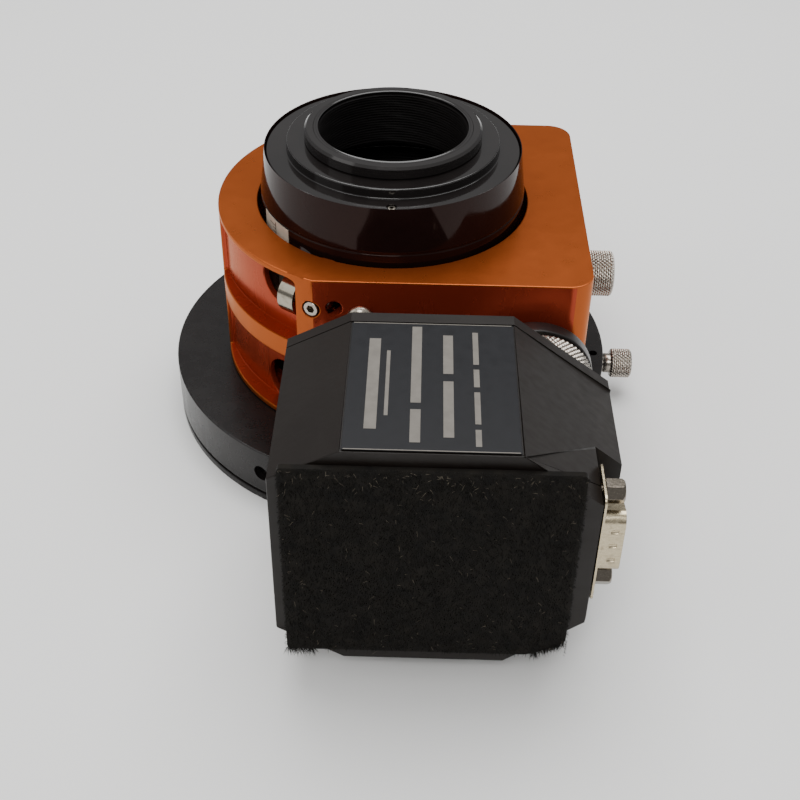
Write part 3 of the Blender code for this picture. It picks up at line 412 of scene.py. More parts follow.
def freeze(obj):
    """Bakes an object's modifiers into its mesh."""
    bpy.context.view_layer.update()
    evaluated = obj.evaluated_get(bpy.context.evaluated_depsgraph_get())
    mesh = bpy.data.meshes.new_from_object(evaluated)
    obj.modifiers.clear()
    obj.data = mesh
    return obj


def carve(obj, *tools, operation="DIFFERENCE"):
    """Cuts tools from an object, or joins them on, and removes them."""
    for tool in tools:
        modifier = obj.modifiers.new("carve", "BOOLEAN")
        modifier.operation = operation
        modifier.solver = "EXACT"
        modifier.object = tool
    freeze(obj)
    for tool in tools:
        bpy.data.objects.remove(tool, do_unlink=True)
    return obj


def merge_flats(obj, weld=0.000002):
    """Joins the flat faces that cutting or triangulation has split."""
    shape = bmesh.new()
    shape.from_mesh(obj.data)
    bmesh.ops.remove_doubles(shape, verts=shape.verts, dist=weld)
    bmesh.ops.dissolve_limit(shape, angle_limit=math.radians(0.4), verts=shape.verts,
                             edges=shape.edges)
    shape.to_mesh(obj.data)
    shape.free()
    return obj


def soften(obj, width, segments=2, angle=30, spared=None):
    """Rounds an object's sharp edges, but for those that spared() names."""
    bevel = obj.modifiers.new("soften", "BEVEL")
    bevel.width = width
    bevel.segments = segments
    bevel.miter_outer = "MITER_ARC"
    if spared is None:
        bevel.limit_method = "ANGLE"
        bevel.angle_limit = math.radians(angle)
        return freeze(obj)
    shape = bmesh.new()
    shape.from_mesh(obj.data)
    weight = shape.edges.layers.float.new("bevel_weight_edge")
    for edge in shape.edges:
        sharp = edge.is_manifold and edge.calc_face_angle(0.0) > math.radians(angle)
        if sharp and not spared(edge):
            edge[weight] = 1.0
    shape.to_mesh(obj.data)
    shape.free()
    bevel.limit_method = "WEIGHT"
    bevel.use_clamp_overlap = False
    return freeze(obj)


def dress(obj, material, body, slot, *replaced, angle=32):
    """Gives a finished piece its shading, material and body, and hides the nodes it stands for; the
    slot argument is not used.
    """
    obj.data.materials.clear()
    obj.data.materials.append(material)
    obj.data.shade_smooth()
    obj.data.set_sharp_from_angle(angle=math.radians(angle))
    weighted = obj.modifiers.new("normals", "WEIGHTED_NORMAL")
    weighted.keep_sharp = True
    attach(obj, body)
    if replaced:
        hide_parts(*replaced)


def line_bore(obj, reach):
    """Gives the faces inside a distance from the optical axis the darker bore material, whose dark
    tone is painted shade.
    """
    obj.data.materials.append(BLACK_BORE_PAINTED_SHADE)
    for face in obj.data.polygons:
        if math.hypot(face.center.x, face.center.y) < reach:
            face.material_index = 1


def copied(name, node):
    """A new piece with the shape of a flat-sided CAD node."""
    shape = bmesh.new()
    shape.from_mesh(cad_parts[node].data)
    return merge_flats(new_object(name, shape), 0.00015)


def carry(node, material, width):
    """Gives a CAD node that stays as it is a material and an edge-rounding modifier."""
    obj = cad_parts[node]
    obj.data.materials.clear()
    obj.data.materials.append(material)
    weld = obj.modifiers.new("weld", "WELD")
    weld.merge_threshold = 0.00001
    bevel = obj.modifiers.new("soften", "BEVEL")
    bevel.width = width
    bevel.segments = 2
    bevel.limit_method = "ANGLE"
    bevel.angle_limit = math.radians(35)


def radial(degrees):
    """Turns +Z to point outward from the optical axis at an azimuth."""
    return Matrix.Rotation(math.radians(degrees), 4, "Z") @ TO_X


def on_circle(degrees, radius, height):
    """A point at an azimuth, radius and height."""
    angle = math.radians(degrees)
    return Vector((radius * math.cos(angle), radius * math.sin(angle), height))


def middle(node):
    """The middle of a CAD node's box."""
    low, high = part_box(node)
    return (low + high) / 2


def triangle_wave(value):
    """0 at each whole number and 1 half way between."""
    return abs(2 * (value - math.floor(value + 0.5)))


def diamond_knurl(teeth, pitch):
    """Two crossing sets of V grooves; the pitch is along the axis."""
    def pattern(angle, height):
        around = teeth * angle / TAU
        along = height / pitch
        ridge = min(triangle_wave(around + along), triangle_wave(around - along))
        return 1.0 - min(1.0, 1.35 * ridge)
    return pattern


def screw_thread(pitch):
    """One helical V groove."""
    def pattern(angle, height):
        return 1.0 - triangle_wave(height / pitch - angle / TAU)
    return pattern


def knurled_screw(teeth):
    """A diamond knurl above the shoulder, at height 0, and a thread below it."""
    knurl = diamond_knurl(teeth, SCREW_KNURL_PITCH)
    thread = screw_thread(SCREW_THREAD_PITCH)

    def pattern(angle, height):
        return knurl(angle, height) if height > 0.0 else thread(angle, height)
    return pattern


def stretch(start, end, radius, step, cut):
    """Even stations between two heights, for a knurl or a thread."""
    count = max(2, round(abs(end - start) / step))
    return [(radius, start + (end - start) * i / count, cut) for i in range(count + 1)]


# ---------------------------------------------------------------- flange and clamp screws
CLAMP_Z = middle("flange_thumbscrew_right").z
CLAMPS = {"right": 0.0, "back": 118.0}
SET_SCREW_DEG = 238.0
CLAMP_RADIUS = 0.0020
FLANGE_BORE = 0.0423
REGISTER_RADIUS = 0.0540
REGISTER_DEPTH = 0.0040
INDEX_HOLE_DEG = -5.1
INDEX_HOLE_OUT = 0.0595
THUMB_TIP = 0.0413              # places along a clamp screw, out from the optical axis
THUMB_SHOULDER = 0.0654
THUMB_END = 0.0716


def base_flange():
    """The flange ring: register recess below, edge groove, clamp holes and an index hole."""
    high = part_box("base_flange")[1]
    radius, top = high.x, high.z
    groove, groove_low, groove_high = 0.0008, 0.0022, 0.0030
    profile = [(radius, top), (radius, groove_high), (radius - groove, groove_high),
               (radius - groove, groove_low), (radius, groove_low), (radius, 0.0),
               (REGISTER_RADIUS, 0.0), (REGISTER_RADIUS, REGISTER_DEPTH),
               (FLANGE_BORE, REGISTER_DEPTH), (FLANGE_BORE, top)]
    flange = revolve("flange_ring", eased(profile, 0.0005))
    tools = [drill(CLAMP_RADIUS + GAP, 0.030, on_circle(degrees, FLANGE_BORE - 0.003, CLAMP_Z),
                   radial(degrees)) for degrees in (*CLAMPS.values(), SET_SCREW_DEG)]
    tools.append(drill(0.0012, 0.004, on_circle(INDEX_HOLE_DEG, INDEX_HOLE_OUT, top - 0.003)))
    carve(flange, *tools)
    dress(flange, BLACK_SATIN, "base", "black_anodised", "base_flange")


def socket_screw(name, radius, length, location, turn, body, node, material=STEEL):
    """A headless screw with a hexagon socket, its outer face at the location."""
    screw = rod(name, radius, 0.0, -length, radius * 0.14, location, turn)
    depth = min(0.0022, length * 0.72)
    socket = drill(radius * 0.58, depth + SOCKET_PROUD, sides=6)
    socket.matrix_world = screw.matrix_world @ Matrix.Translation((0, 0, -depth))
    carve(screw, socket)
    dress(screw, material, body, "bright_steel", node)


def thumbscrew(side, degrees):
    """A knurled head on a neck, with a threaded, cone-pointed shank."""
    node = "flange_thumbscrew_" + side
    reach = THUMB_SHOULDER
    head = THUMB_END - reach
    tip = THUMB_TIP - reach
    stations = [(0.0, head - 0.0003), (0.0026, head - 0.0003), (0.0030, head), (0.0037, head)]
    stations += stretch(head - 0.0005, 0.0005, 0.0043, 0.00014, 0.00042)
    stations += [(0.0037, 0.00001), (0.0029, 0.0), (0.0029, -0.0018), (0.0027, -0.0020),
                 (0.0027, -0.0024), (0.0020, -0.0025)]
    stations += stretch(-0.0026, tip + 0.0018, 0.0020, 0.00012, 0.00032)
    stations += [(0.0017, tip + 0.0014), (0.0006, tip), (0.0, tip)]
    screw = revolve("clamp_thumbscrew_" + side, stations, on_circle(degrees, reach, CLAMP_Z),
                    radial(degrees), 156, knurled_screw(26))
    dress(screw, KNURLED, side + "_thumbscrew", "bright_steel", node, angle=50)


base_flange()
for clamp_side, clamp_deg in CLAMPS.items():
    thumbscrew(clamp_side, clamp_deg)
socket_screw("clamp_set_screw", CLAMP_RADIUS, 0.0180, on_circle(SET_SCREW_DEG, 0.0605, CLAMP_Z),
             radial(SET_SCREW_DEG), "base", "flange_set_screw", BLACK_OXIDE)


# ---------------------------------------------------------------- focuser body
BODY_LOW, BODY_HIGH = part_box("focuser_body")
BODY_MIDDLE = (BODY_LOW.z + BODY_HIGH.z) / 2
TUBE_LOW, TUBE_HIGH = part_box("drawtube")
TUBE_RADIUS = TUBE_HIGH.y
BODY_RADIUS = 0.0472
BODY_BORE = 0.0366
BODY_CORNER = 0.0065
BODY_DEPTH = BODY_HIGH.y
SHAFT = middle("drive_shaft")
SHAFT_RADIUS = 0.0031
SIDES = ((-1, 1), (-1, -1), (1, 1), (1, -1))    # back is +1; the upper level is +1
WINDOW_DEG = 46.0
WINDOW_FLOOR_CENTRE = (0.0093, 0.0122)
WINDOW_FLOOR_RADIUS = 0.0580
WINDOW_FLOOR_ARC = (199.6, 239.8)
WINDOW_NEAR = 0.0030
WINDOW_FAR = 0.0223
WINDOW_RIGHT = 0.0121
WINDOW_CORNER = 0.0016
POST_HALF_WIDTH = 0.0073
WINDOW_MOUTH = ((-0.0272, -0.0455), (-0.0500, -0.0400), (-0.0560, -POST_HALF_WIDTH))
BEARING_RADIUS = 0.0055
BEARING_HALF = 0.0025
AXLE_RADIUS = 0.0022
AXLE_START = -0.0036
AXLE_END = 0.0110
AXLE_ROOM = 0.0008
BEARING_DEG = 56.0
BEARING_ROOM = 0.0004
OPENING_DEG = 49.5
OPENING_RISE = 0.0161
OPENING_RADIUS = 0.0064
OPENING_DEPTH = 0.0106
RELIEF_RADIUS = 0.0410
RELIEF_NEAR = 0.0050
RELIEF_FAR = 0.0212
LOCK_SCREW_DEG = 65.8
LOCK_SCREW_RISE = 0.0151
AXLE_PORT_X = -0.0133
AXLE_PORT_RISE = 0.0158
AXLE_PORT_RADIUS = 0.00205
AXLE_PORT_DEPTH = 0.0050
LOCK_HOLE_RADIUS = 0.0023
LOCK_HOLE_DEPTH = 0.0036
BUSH_SEAT_RADIUS = 0.0058
BUSH_SEAT_DEPTH = 0.0065
BLOCK_HALF_WIDTH = 0.0080
BLOCK_HALF_HEIGHT = 0.0060
BLOCK_RIGHT = 0.0478
TENSION_HOLE_RADIUS = 0.0028
TENSION_HOLE_START = 0.0440
FACE_HOLE_RADIUS = 0.0018
FACE_HOLE_START = -0.0360
FACE_SCREW_AT = middle("front_face_screw")


def body_outline():
    """The plan of the body: a round left side and a square right side with round corners."""
    meet = math.degrees(math.asin(BODY_DEPTH / BODY_RADIUS))
    right = BODY_HIGH.x - BODY_CORNER
    depth = BODY_DEPTH - BODY_CORNER
    outline = arc((0, 0), BODY_RADIUS, 180 - meet, 180 + meet, 90)
    outline += arc((right, -depth), BODY_CORNER, -90, 0, 16)
    return outline + arc((right, depth), BODY_CORNER, 0, 90, 16)


def window_pocket(side, level):
    """The space of one milled pocket in the round side."""
    low = BODY_MIDDLE + (WINDOW_NEAR if level > 0 else -WINDOW_FAR)
    height = WINDOW_FAR - WINDOW_NEAR
    plan = arc(WINDOW_FLOOR_CENTRE, WINDOW_FLOOR_RADIUS, *WINDOW_FLOOR_ARC, 30)
    plan += WINDOW_MOUTH
    pocket = prism("pocket", [(x, -side * y) for x, y in plan], low, low + height)
    inset = WINDOW_RIGHT - WINDOW_CORNER
    open_end = -0.050
    face = [(-low - height, open_end)]
    face += arc((WINDOW_CORNER - low - height, inset), WINDOW_CORNER, 180, 90, 8)
    face += arc((-low - WINDOW_CORNER, inset), WINDOW_CORNER, 90, 0, 8)
    face += [(-low, open_end)]
    facing = 180 - side * WINDOW_DEG
    rounded = prism("rounded", [(z, -side * t) for z, t in face], 0.0, 0.040,
                    on_circle(facing, 0.030, 0), radial(facing))
    return carve(pocket, rounded, operation="INTERSECT")


def bearing_place(side, level):
    """Where a drawtube bearing sits: its +Z runs along its axle, towards the flat face."""
    number = SIDES.index((side, level)) + 1
    centre = middle(f"bearing_{number}")
    outward = Vector((centre.x, centre.y, 0.0)).normalized()
    along = Vector((side * outward.y, -side * outward.x, 0.0))
    turn = Vector((0, 0, 1)).rotation_difference(along).to_matrix().to_4x4()
    return centre, along, turn


def bearing_slot(side, height):
    """The space of the slot that a bearing stands in, open to the bore."""
    degrees = 180 - side * BEARING_DEG
    rise = BEARING_RADIUS + BEARING_ROOM
    half = BEARING_HALF + BEARING_ROOM
    outline = [(-height - rise, -half), (rise - height, -half), (rise - height, half),
               (-height - rise, half)]
    return prism("slot", outline, 0.0, 2 * rise + GAP,
                 on_circle(degrees, TUBE_RADIUS - BEARING_ROOM, 0), radial(degrees))


def beside_post(edge):
    """Whether an edge is at a window's end wall, where a bearing slot leaves a thin step."""
    point = (edge.verts[0].co + edge.verts[1].co) / 2
    side = 1 if point.y > 0 else -1
    facing = math.radians(180 - side * WINDOW_DEG)
    across = side * (point.x * math.sin(facing) - point.y * math.cos(facing))
    return point.x < 0 and abs(across - WINDOW_RIGHT) < 0.0026


def bore_relief(level):
    """The wider part of the bore above or below its middle land."""
    low = BODY_MIDDLE + (RELIEF_NEAR if level > 0 else -RELIEF_FAR)
    high = low + RELIEF_FAR - RELIEF_NEAR
    inner = BODY_BORE - 2 * GAP
    ring = [(RELIEF_RADIUS, high), (RELIEF_RADIUS, low), (inner, low), (inner, high)]
    return revolve("relief", ring)


def focuser_body():
    """The block; its front and back faces, windows and bore get a redder, darker copy of the orange
    finish as painted shade and painted reflection.
    """
    body = prism("body_block", body_outline(), BODY_LOW.z, BODY_HIGH.z)
    carve(body, drill(BODY_BORE, 0.080, sides=ROUND))
    tools = [bore_relief(-1), bore_relief(1)]
    for side, level in SIDES:
        tools.append(window_pocket(side, level))
        centre, along, turn = bearing_place(side, level)
        tools.append(bearing_slot(side, centre.z))
        degrees = 180 - side * OPENING_DEG
        start = on_circle(degrees, BODY_BORE - 0.003, BODY_MIDDLE + level * OPENING_RISE)
        tools.append(drill(OPENING_RADIUS, OPENING_DEPTH, start, radial(degrees)))
        tools.append(drill(AXLE_RADIUS + GAP, AXLE_END - AXLE_START + 2 * AXLE_ROOM,
                           centre + along * (AXLE_START - AXLE_ROOM), turn))
        outward = TO_Y if side > 0 else TO_MINUS_Y
        port_start = (AXLE_PORT_X, side * (BODY_DEPTH - AXLE_PORT_DEPTH),
                      BODY_MIDDLE + level * AXLE_PORT_RISE)
        tools.append(drill(AXLE_PORT_RADIUS, 0.0060, port_start, outward))
        degrees = 180 - side * LOCK_SCREW_DEG
        hole_start = on_circle(degrees, BODY_RADIUS - LOCK_HOLE_DEPTH,
                               BODY_MIDDLE + level * LOCK_SCREW_RISE)
        tools.append(drill(LOCK_HOLE_RADIUS, 0.0060, hole_start, radial(degrees)))
    tools.append(drill(SHAFT_RADIUS + 2 * GAP, 0.09, (SHAFT.x, 0.045, SHAFT.z), TO_MINUS_Y))
    for side in (-1, 1):
        seat = (SHAFT.x, side * (BODY_DEPTH - BUSH_SEAT_DEPTH), SHAFT.z)
        tools.append(drill(BUSH_SEAT_RADIUS, 0.0075, seat, TO_Y if side > 0 else TO_MINUS_Y))
    tools.append(block("block_pocket", (SHAFT.x, -BLOCK_HALF_WIDTH, SHAFT.z - BLOCK_HALF_HEIGHT),
                       (BLOCK_RIGHT, BLOCK_HALF_WIDTH, SHAFT.z + BLOCK_HALF_HEIGHT)))
    tools.append(drill(TENSION_HOLE_RADIUS, 0.010, (TENSION_HOLE_START, 0, SHAFT.z), TO_X))
    tools.append(drill(FACE_HOLE_RADIUS, 0.0080,
                       (FACE_SCREW_AT.x, FACE_HOLE_START, FACE_SCREW_AT.z), TO_MINUS_Y))
    carve(body, *tools)
    merge_flats(body, 0.00006)
    soften(body, 0.00040, spared=beside_post)
    dress(body, ORANGE, "focuser", "orange_anodised", "focuser_body", angle=40)
    # The faces inside the round side and the flat front and back faces take the redder, darker
    # copy: painted shade and painted reflection.
    body.data.materials.append(ORANGE_PAINTED_SHADE)
    edge = 0.0008
    for face in body.data.polygons:
        at = face.center
        inside = math.hypot(at.x, at.y) < BODY_RADIUS - edge
        between = BODY_LOW.z + edge < at.z < BODY_HIGH.z - edge
        if between and (inside or abs(face.normal.y) > 0.95):
            face.material_index = 1


def body_spigot():
    """The grooved ring under the body that the clamp screws hold in the flange."""
    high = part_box("body_spigot")[1]
    outer = FLANGE_BORE - GAP
    inner = 0.0374
    low = 0.0046
    groove = 0.0020
    profile = [(outer, high.z), (outer, CLAMP_Z + groove), (outer - 0.0015, CLAMP_Z),
               (outer, CLAMP_Z - groove), (outer, low), (inner, low), (inner, high.z)]
    dress(revolve("body_collar", eased(profile, 0.0003)), BLACK, "focuser", "black_anodised",
          "body_spigot")


BEARING_NAMES = ("front_upper", "front_lower", "back_upper", "back_lower")


def bearing_set(number, side, level):
    """A ball bearing with its races and shields, its axle and its lock screw."""
    centre, along, turn = bearing_place(side, level)
    name = BEARING_NAMES[number - 1]
    half = BEARING_HALF
    inner = AXLE_RADIUS + GAP
    inner_race = inner + 0.0008
    outer_race = BEARING_RADIUS - 0.0009
    shield = half - 0.0004
    face = [(inner, half), (inner_race, half), (inner_race, shield), (outer_race, shield),
            (outer_race, half), (BEARING_RADIUS, half)]
    profile = face + [(radius, -height) for radius, height in reversed(face)]
    bearing = revolve("ball_bearing_" + name, eased(profile, 0.00022), centre, turn, 96)
    dress(bearing, POLISHED, "bearing_" + name, "bright_steel", f"bearing_{number}")
    axle = rod("axle_" + name, AXLE_RADIUS, AXLE_END, AXLE_START, 0.0003, centre, turn)
    dress(axle, STEEL, "focuser", "bright_steel", f"bearing_axle_{number}")
    degrees = 180 - side * LOCK_SCREW_DEG
    at = on_circle(degrees, BODY_RADIUS - 0.0002, BODY_MIDDLE + level * LOCK_SCREW_RISE)
    socket_screw("lock_screw_" + name, 0.0020, 0.0030, at, radial(degrees), "focuser",
                 f"axle_lock_screw_{number}")


def button_screw(name, radius, height, shank, location, turn, node):
    """A domed head with a hexagon socket on a threaded shank; the head sits on the location."""
    dome = [(radius * math.cos(math.radians(a)), height * math.sin(math.radians(a)))
            for a in range(80, -1, -10)]
    shank_radius = 0.0014
    stations = [(0.0, height)] + dome + [(radius, 0.0), (shank_radius, 0.0)]
    stations += stretch(-0.0004, 0.0004 - shank, shank_radius, 0.00010, 0.00018)
    stations += [(shank_radius * 0.8, -shank), (0.0, -shank)]
    screw = revolve(name, stations, location, turn, SMALL_ROUND, screw_thread(0.0005))
    socket = drill(radius * 0.42, height + SOCKET_PROUD, sides=6)
    socket.matrix_world = screw.matrix_world @ Matrix.Translation((0, 0, height * 0.35))
    carve(screw, socket)
    dress(screw, STEEL, "focuser", "bright_steel", node, angle=28)


focuser_body()
body_spigot()
for index, (bearing_side, bearing_level) in enumerate(SIDES, 1):
    bearing_set(index, bearing_side, bearing_level)
button_screw("face_screw", 0.0035, 0.0021, 0.0060,
             (FACE_SCREW_AT.x, -BODY_DEPTH - GAP, FACE_SCREW_AT.z), TO_MINUS_Y,
             "front_face_screw")


# ---------------------------------------------------------------- drawtube and adapter
TUBE_TOP = TUBE_HIGH.z
TUBE_BORE = 0.0312
SEAT_RADIUS = 0.0336
SEAT_Z = 0.0745
SCALE_ARC = (201.5, 222.4)
STRIP_LOW, STRIP_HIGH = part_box("drive_strip")
SCALE_LOW, SCALE_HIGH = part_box("scale_strip")
BOX_SIDES = ((0, 1, 3, 2), (4, 6, 7, 5), (0, 2, 6, 4), (1, 5, 7, 3), (0, 4, 5, 1), (2, 3, 7, 6))


def drawtube():
    """The sliding tube, with a fine groove under its head and baffle rings inside."""
    floor = TUBE_RADIUS - 0.0002
    profile = [(TUBE_RADIUS, TUBE_TOP), (TUBE_RADIUS, 0.0684), (floor, 0.0682), (floor, 0.0678),
               (TUBE_RADIUS, 0.0676), (TUBE_RADIUS, TUBE_LOW.z), (TUBE_BORE, TUBE_LOW.z)]
    profile = eased(profile, 0.00035)
    baffle = 0.0010
    rings = int((SEAT_Z - 0.012 - TUBE_LOW.z) / baffle)
    for ring in range(rings):
        height = TUBE_LOW.z + 0.003 + ring * baffle
        profile += [(TUBE_BORE, height), (TUBE_BORE + 0.00035, height + baffle * 0.5)]
    top = eased([(TUBE_BORE, SEAT_Z - 0.004), (TUBE_BORE, SEAT_Z), (SEAT_RADIUS + GAP, SEAT_Z),
                 (SEAT_RADIUS + GAP, TUBE_TOP), (TUBE_RADIUS, TUBE_TOP)], 0.0002, closed=False)
    tube = revolve("sliding_tube", profile[4:] + top[:-1])
    flat_low = STRIP_LOW.z - GAP
    flat_high = STRIP_HIGH.z + GAP
    half = STRIP_HIGH.y + GAP
    clear = 0.0140
    outside = 0.0380
    first, last = SCALE_ARC[0] - 0.5, SCALE_ARC[1] + 0.5
    scale = arc((0, 0), TUBE_RADIUS - 0.0006, first, last, 24)
    scale += arc((0, 0), TUBE_RADIUS + 0.001, last, first, 24)
    carve(tube,
          block("strip_flat", (STRIP_LOW.x - GAP, -half, flat_low), (outside, half, flat_high)),
          block("clear_flat", (STRIP_HIGH.x - 0.0002, -clear, flat_low),
                (outside, clear, flat_high)),
          prism("scale_recess", scale, SCALE_LOW.z - GAP, SCALE_HIGH.z + GAP))
    dress(tube, BLACK_TUBE_PAINTED_REFLECTION, "drawtube", "black_anodised", "drawtube")
    line_bore(tube, TUBE_BORE + 0.0010)


def drive_strip():
    """The steel strip on the tube's flat that the shaft rolls on."""
    strip = soften(block("friction_strip", STRIP_LOW, STRIP_HIGH), 0.0002)
    dress(strip, POLISHED, "drawtube", "bright_steel", "drive_strip")


def scale_marks(outer):
    """A travel scale printed on the tape: a long line with a tick each millimetre beside it."""
    sunk = 0.00002
    proud = 0.00003
    margin = 0.0006
    half_tick = 0.00008
    shape = bmesh.new()

    def patch(start_deg, end_deg, low, high):
        """One printed patch that follows the tape's curve."""
        steps = max(1, round(abs(end_deg - start_deg) / 1.0))
        for step in range(steps):
            corners = [shape.verts.new(on_circle(degrees, radius, height))
                       for degrees in (start_deg + (end_deg - start_deg) * step / steps,
                                       start_deg + (end_deg - start_deg) * (step + 1) / steps)
                       for radius in (outer - sunk, outer + proud)
                       for height in (low, high)]
            for side in BOX_SIDES:
                shape.faces.new([corners[corner] for corner in side])

    line = 212.4                        # degrees, as are the tick lengths
    patch(line, line + 0.45, SCALE_LOW.z + margin, SCALE_HIGH.z - margin)
    count = int((SCALE_HIGH.z - SCALE_LOW.z - 0.0030) / 0.001)
    for tick in range(count):
        height = SCALE_HIGH.z - 0.0016 - tick * 0.001
        length = 5.2 if tick % 5 == 0 else 2.6
        patch(line - length, line - 0.1, height - half_tick, height + half_tick)
    bmesh.ops.remove_doubles(shape, verts=shape.verts, dist=0.000001)
    dress(new_object("scale_marks", shape), INK, "drawtube", "scale_tape")


def scale_tape():
    """The tape in its recess on the tube's left front."""
    outer = TUBE_RADIUS - 0.00003
    outline = arc((0, 0), TUBE_RADIUS - GAP, *SCALE_ARC, 28)
    outline += arc((0, 0), outer, SCALE_ARC[1], SCALE_ARC[0], 28)
    tape = prism("travel_scale", outline, SCALE_LOW.z, SCALE_HIGH.z)
    dress(tape, TAPE, "drawtube", "scale_tape", "scale_strip")
    scale_marks(outer)


ADAPTER_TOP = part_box("thread_adapter")[1].z
ADAPTER_FACE = 0.0797
GRUB_AT = middle("adapter_set_screw")


def thread_adapter():
    """The stepped disc in the top of the tube."""
    profile = [(0.0281, ADAPTER_TOP), (0.0281, ADAPTER_FACE), (SEAT_RADIUS, ADAPTER_FACE),
               (SEAT_RADIUS, SEAT_Z + GAP), (0.0309, SEAT_Z + GAP), (0.0309, 0.0640),
               (0.0292, 0.0640), (0.0292, SEAT_Z), (0.0215, SEAT_Z), (0.0215, ADAPTER_TOP)]
    adapter = revolve("adapter_disc", eased(profile, 0.0004, bends=4))
    carve(adapter, drill(0.0013, 0.010, (GRUB_AT.x, GRUB_AT.y, 0.0765)))
    dress(adapter, BLACK, "drawtube", "black_anodised", "thread_adapter")
    line_bore(adapter, 0.0218)


def adapter_neck():
    """The raised tube with a female camera thread cut in its bore."""
    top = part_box("adapter_neck")[1].z
    thread_depth = 0.0004
    outside = [(0.0198, top), (0.0202, top - 0.00006), (0.0203, top - 0.00014),
               (0.0204, top - 0.00006), (0.0206, top), (0.0209, top), (0.0210, top - 0.0001),
               (0.0211, top), (0.0228, top), (0.0234, top - 0.0006), (0.0234, 0.0826),
               (0.0212, 0.0826), (0.0212, 0.0700), (0.0200, 0.0700)]
    bore = 0.0194
    stations = outside + stretch(0.0708, top - 0.0010, bore + thread_depth, 0.00011, thread_depth)
    stations += [(bore + thread_depth, top - 0.0008), (0.0198, top - 0.0003)]
    thread = screw_thread(0.00075)

    def crest(angle, height):
        return 1.0 - thread(angle, height)

    neck = revolve("camera_neck", stations, pattern=crest)
    dress(neck, BLACK, "drawtube", "black_anodised", "adapter_neck")
    line_bore(neck, bore + 0.0005)


drawtube()
drive_strip()
scale_tape()
thread_adapter()
adapter_neck()
socket_screw("adapter_grub_screw", 0.0010, 0.0025, (GRUB_AT.x, GRUB_AT.y, 0.0795), UPRIGHT,
             "drawtube", "adapter_set_screw")


# ---------------------------------------------------------------- drive shaft and knobs
KNOB_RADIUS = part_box("back_knob")[1].z - SHAFT.z
KNOB_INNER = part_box("back_knob_collar")[0].y
KNOB_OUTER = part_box("back_knob")[1].y
KNOB_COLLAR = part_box("back_knob_collar")[1].y - KNOB_INNER


def drive_shaft():
    """The polished cross shaft, with a centre mark in its back end."""
    low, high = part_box("drive_shaft")
    profile = [(0.0, high.y - 0.0002), (0.0005, high.y - 0.0008), (0.0010, high.y),
               (SHAFT_RADIUS, high.y), (SHAFT_RADIUS, low.y), (0.0, low.y)]
    shaft = revolve("steel_shaft", eased(profile, 0.0003, closed=False), (SHAFT.x, 0, SHAFT.z),
                    TO_Y, 64)
    dress(shaft, POLISHED, "drive_shaft", "bright_steel", "drive_shaft")


def coarse_knob(name, side):
    """A knurled wheel with a recessed face, and the dark collar on its inner side."""
    turn = TO_Y if side > 0 else TO_MINUS_Y
    inner = SHAFT_RADIUS + GAP
    width = KNOB_OUTER - KNOB_INNER
    start = KNOB_COLLAR + GAP
    origin = (SHAFT.x, side * KNOB_INNER, SHAFT.z)
    collar = [(KNOB_RADIUS, KNOB_COLLAR), (KNOB_RADIUS, 0.0), (inner, 0.0), (inner, KNOB_COLLAR)]
    dress(revolve(name + "_ring", eased(collar, 0.0005), origin, turn), BLACK_FLAT, "drive_shaft",
          "black_plastic", name + "_collar")
    face = width - 0.0010
    stations = [(0.0110, width), (KNOB_RADIUS - 0.0010, width),
                (KNOB_RADIUS - 0.0003, width - 0.0006)]
    stations += stretch(width - 0.0009, start + 0.0010, KNOB_RADIUS, 0.00018, 0.00045)
    stations += [(KNOB_RADIUS - 0.0005, start + 0.0006), (KNOB_RADIUS - 0.0010, start + 0.0005),
                 (KNOB_RADIUS - 0.0010, start), (inner, start), (inner, face),
                 (0.0095, face), (0.0101, face - 0.0002), (0.0106, face)]
    wheel = revolve(name + "_wheel", stations, origin, turn, 432, diamond_knurl(72, 0.0016))
    dress(wheel, KNURLED, "drive_shaft", "bright_steel", name, angle=50)


def tension_knob():
    """The knurled screw in the right end that presses the shaft on the drawtube."""
    origin_x = 0.0540
    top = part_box("tension_knob")[1].x - origin_x
    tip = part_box("tension_knob")[0].x - origin_x
    seat = BODY_HIGH.x + GAP - origin_x
    stations = [(0.0, top - 0.0004), (0.0045, top - 0.0004), (0.0049, top), (0.0056, top),
                (0.0061, top - 0.0003)]
    stations += stretch(top - 0.0006, 0.0006, 0.0064, 0.00014, 0.00042)
    stations += [(0.0058, 0.00001), (0.0040, 0.0), (0.0040, seat), (0.0025, seat - 0.0001)]
    stations += stretch(seat - 0.0002, tip + 0.0004, 0.0025, 0.00012, 0.00030)
    stations += [(0.0021, tip), (0.0, tip)]
    knob = revolve("tension_thumbscrew", stations, (origin_x, 0, SHAFT.z), TO_X, 228,
                   knurled_screw(38))
    dress(knob, KNURLED, "tension_knob", "bright_steel", "tension_knob", angle=50)


drive_shaft()
coarse_knob("front_knob", -1)
coarse_knob("back_knob", 1)
tension_knob()


# ---------------------------------------------------------------- motor box
PLATE_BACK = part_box("motor_back_plate")[1].y
LABEL_BARS = (                  # shares of the label: left, width, and the ends of each bar
    (0.010, 0.980, ((0.0015, 0.0070), (0.9930, 0.9985))),
    (0.115, 0.070, ((0.15, 0.86),)),
    (0.225, 0.022, ((0.25, 0.76),)),
    (0.375, 0.060, ((0.06, 0.30), (0.35, 0.97))),
    (0.565, 0.060, ((0.10, 0.52), (0.58, 0.90))),
    (0.745, 0.034, ((0.04, 0.16), (0.20, 0.44), (0.48, 0.62), (0.66, 0.93))),
)


def no_fold(edge):
    """Whether an edge isn't one of a folded sheet's long outer corners."""
    small = min(face.calc_area() for face in edge.link_faces) < 0.00002
    return small or not edge.is_convex or edge.calc_length() < 0.0045


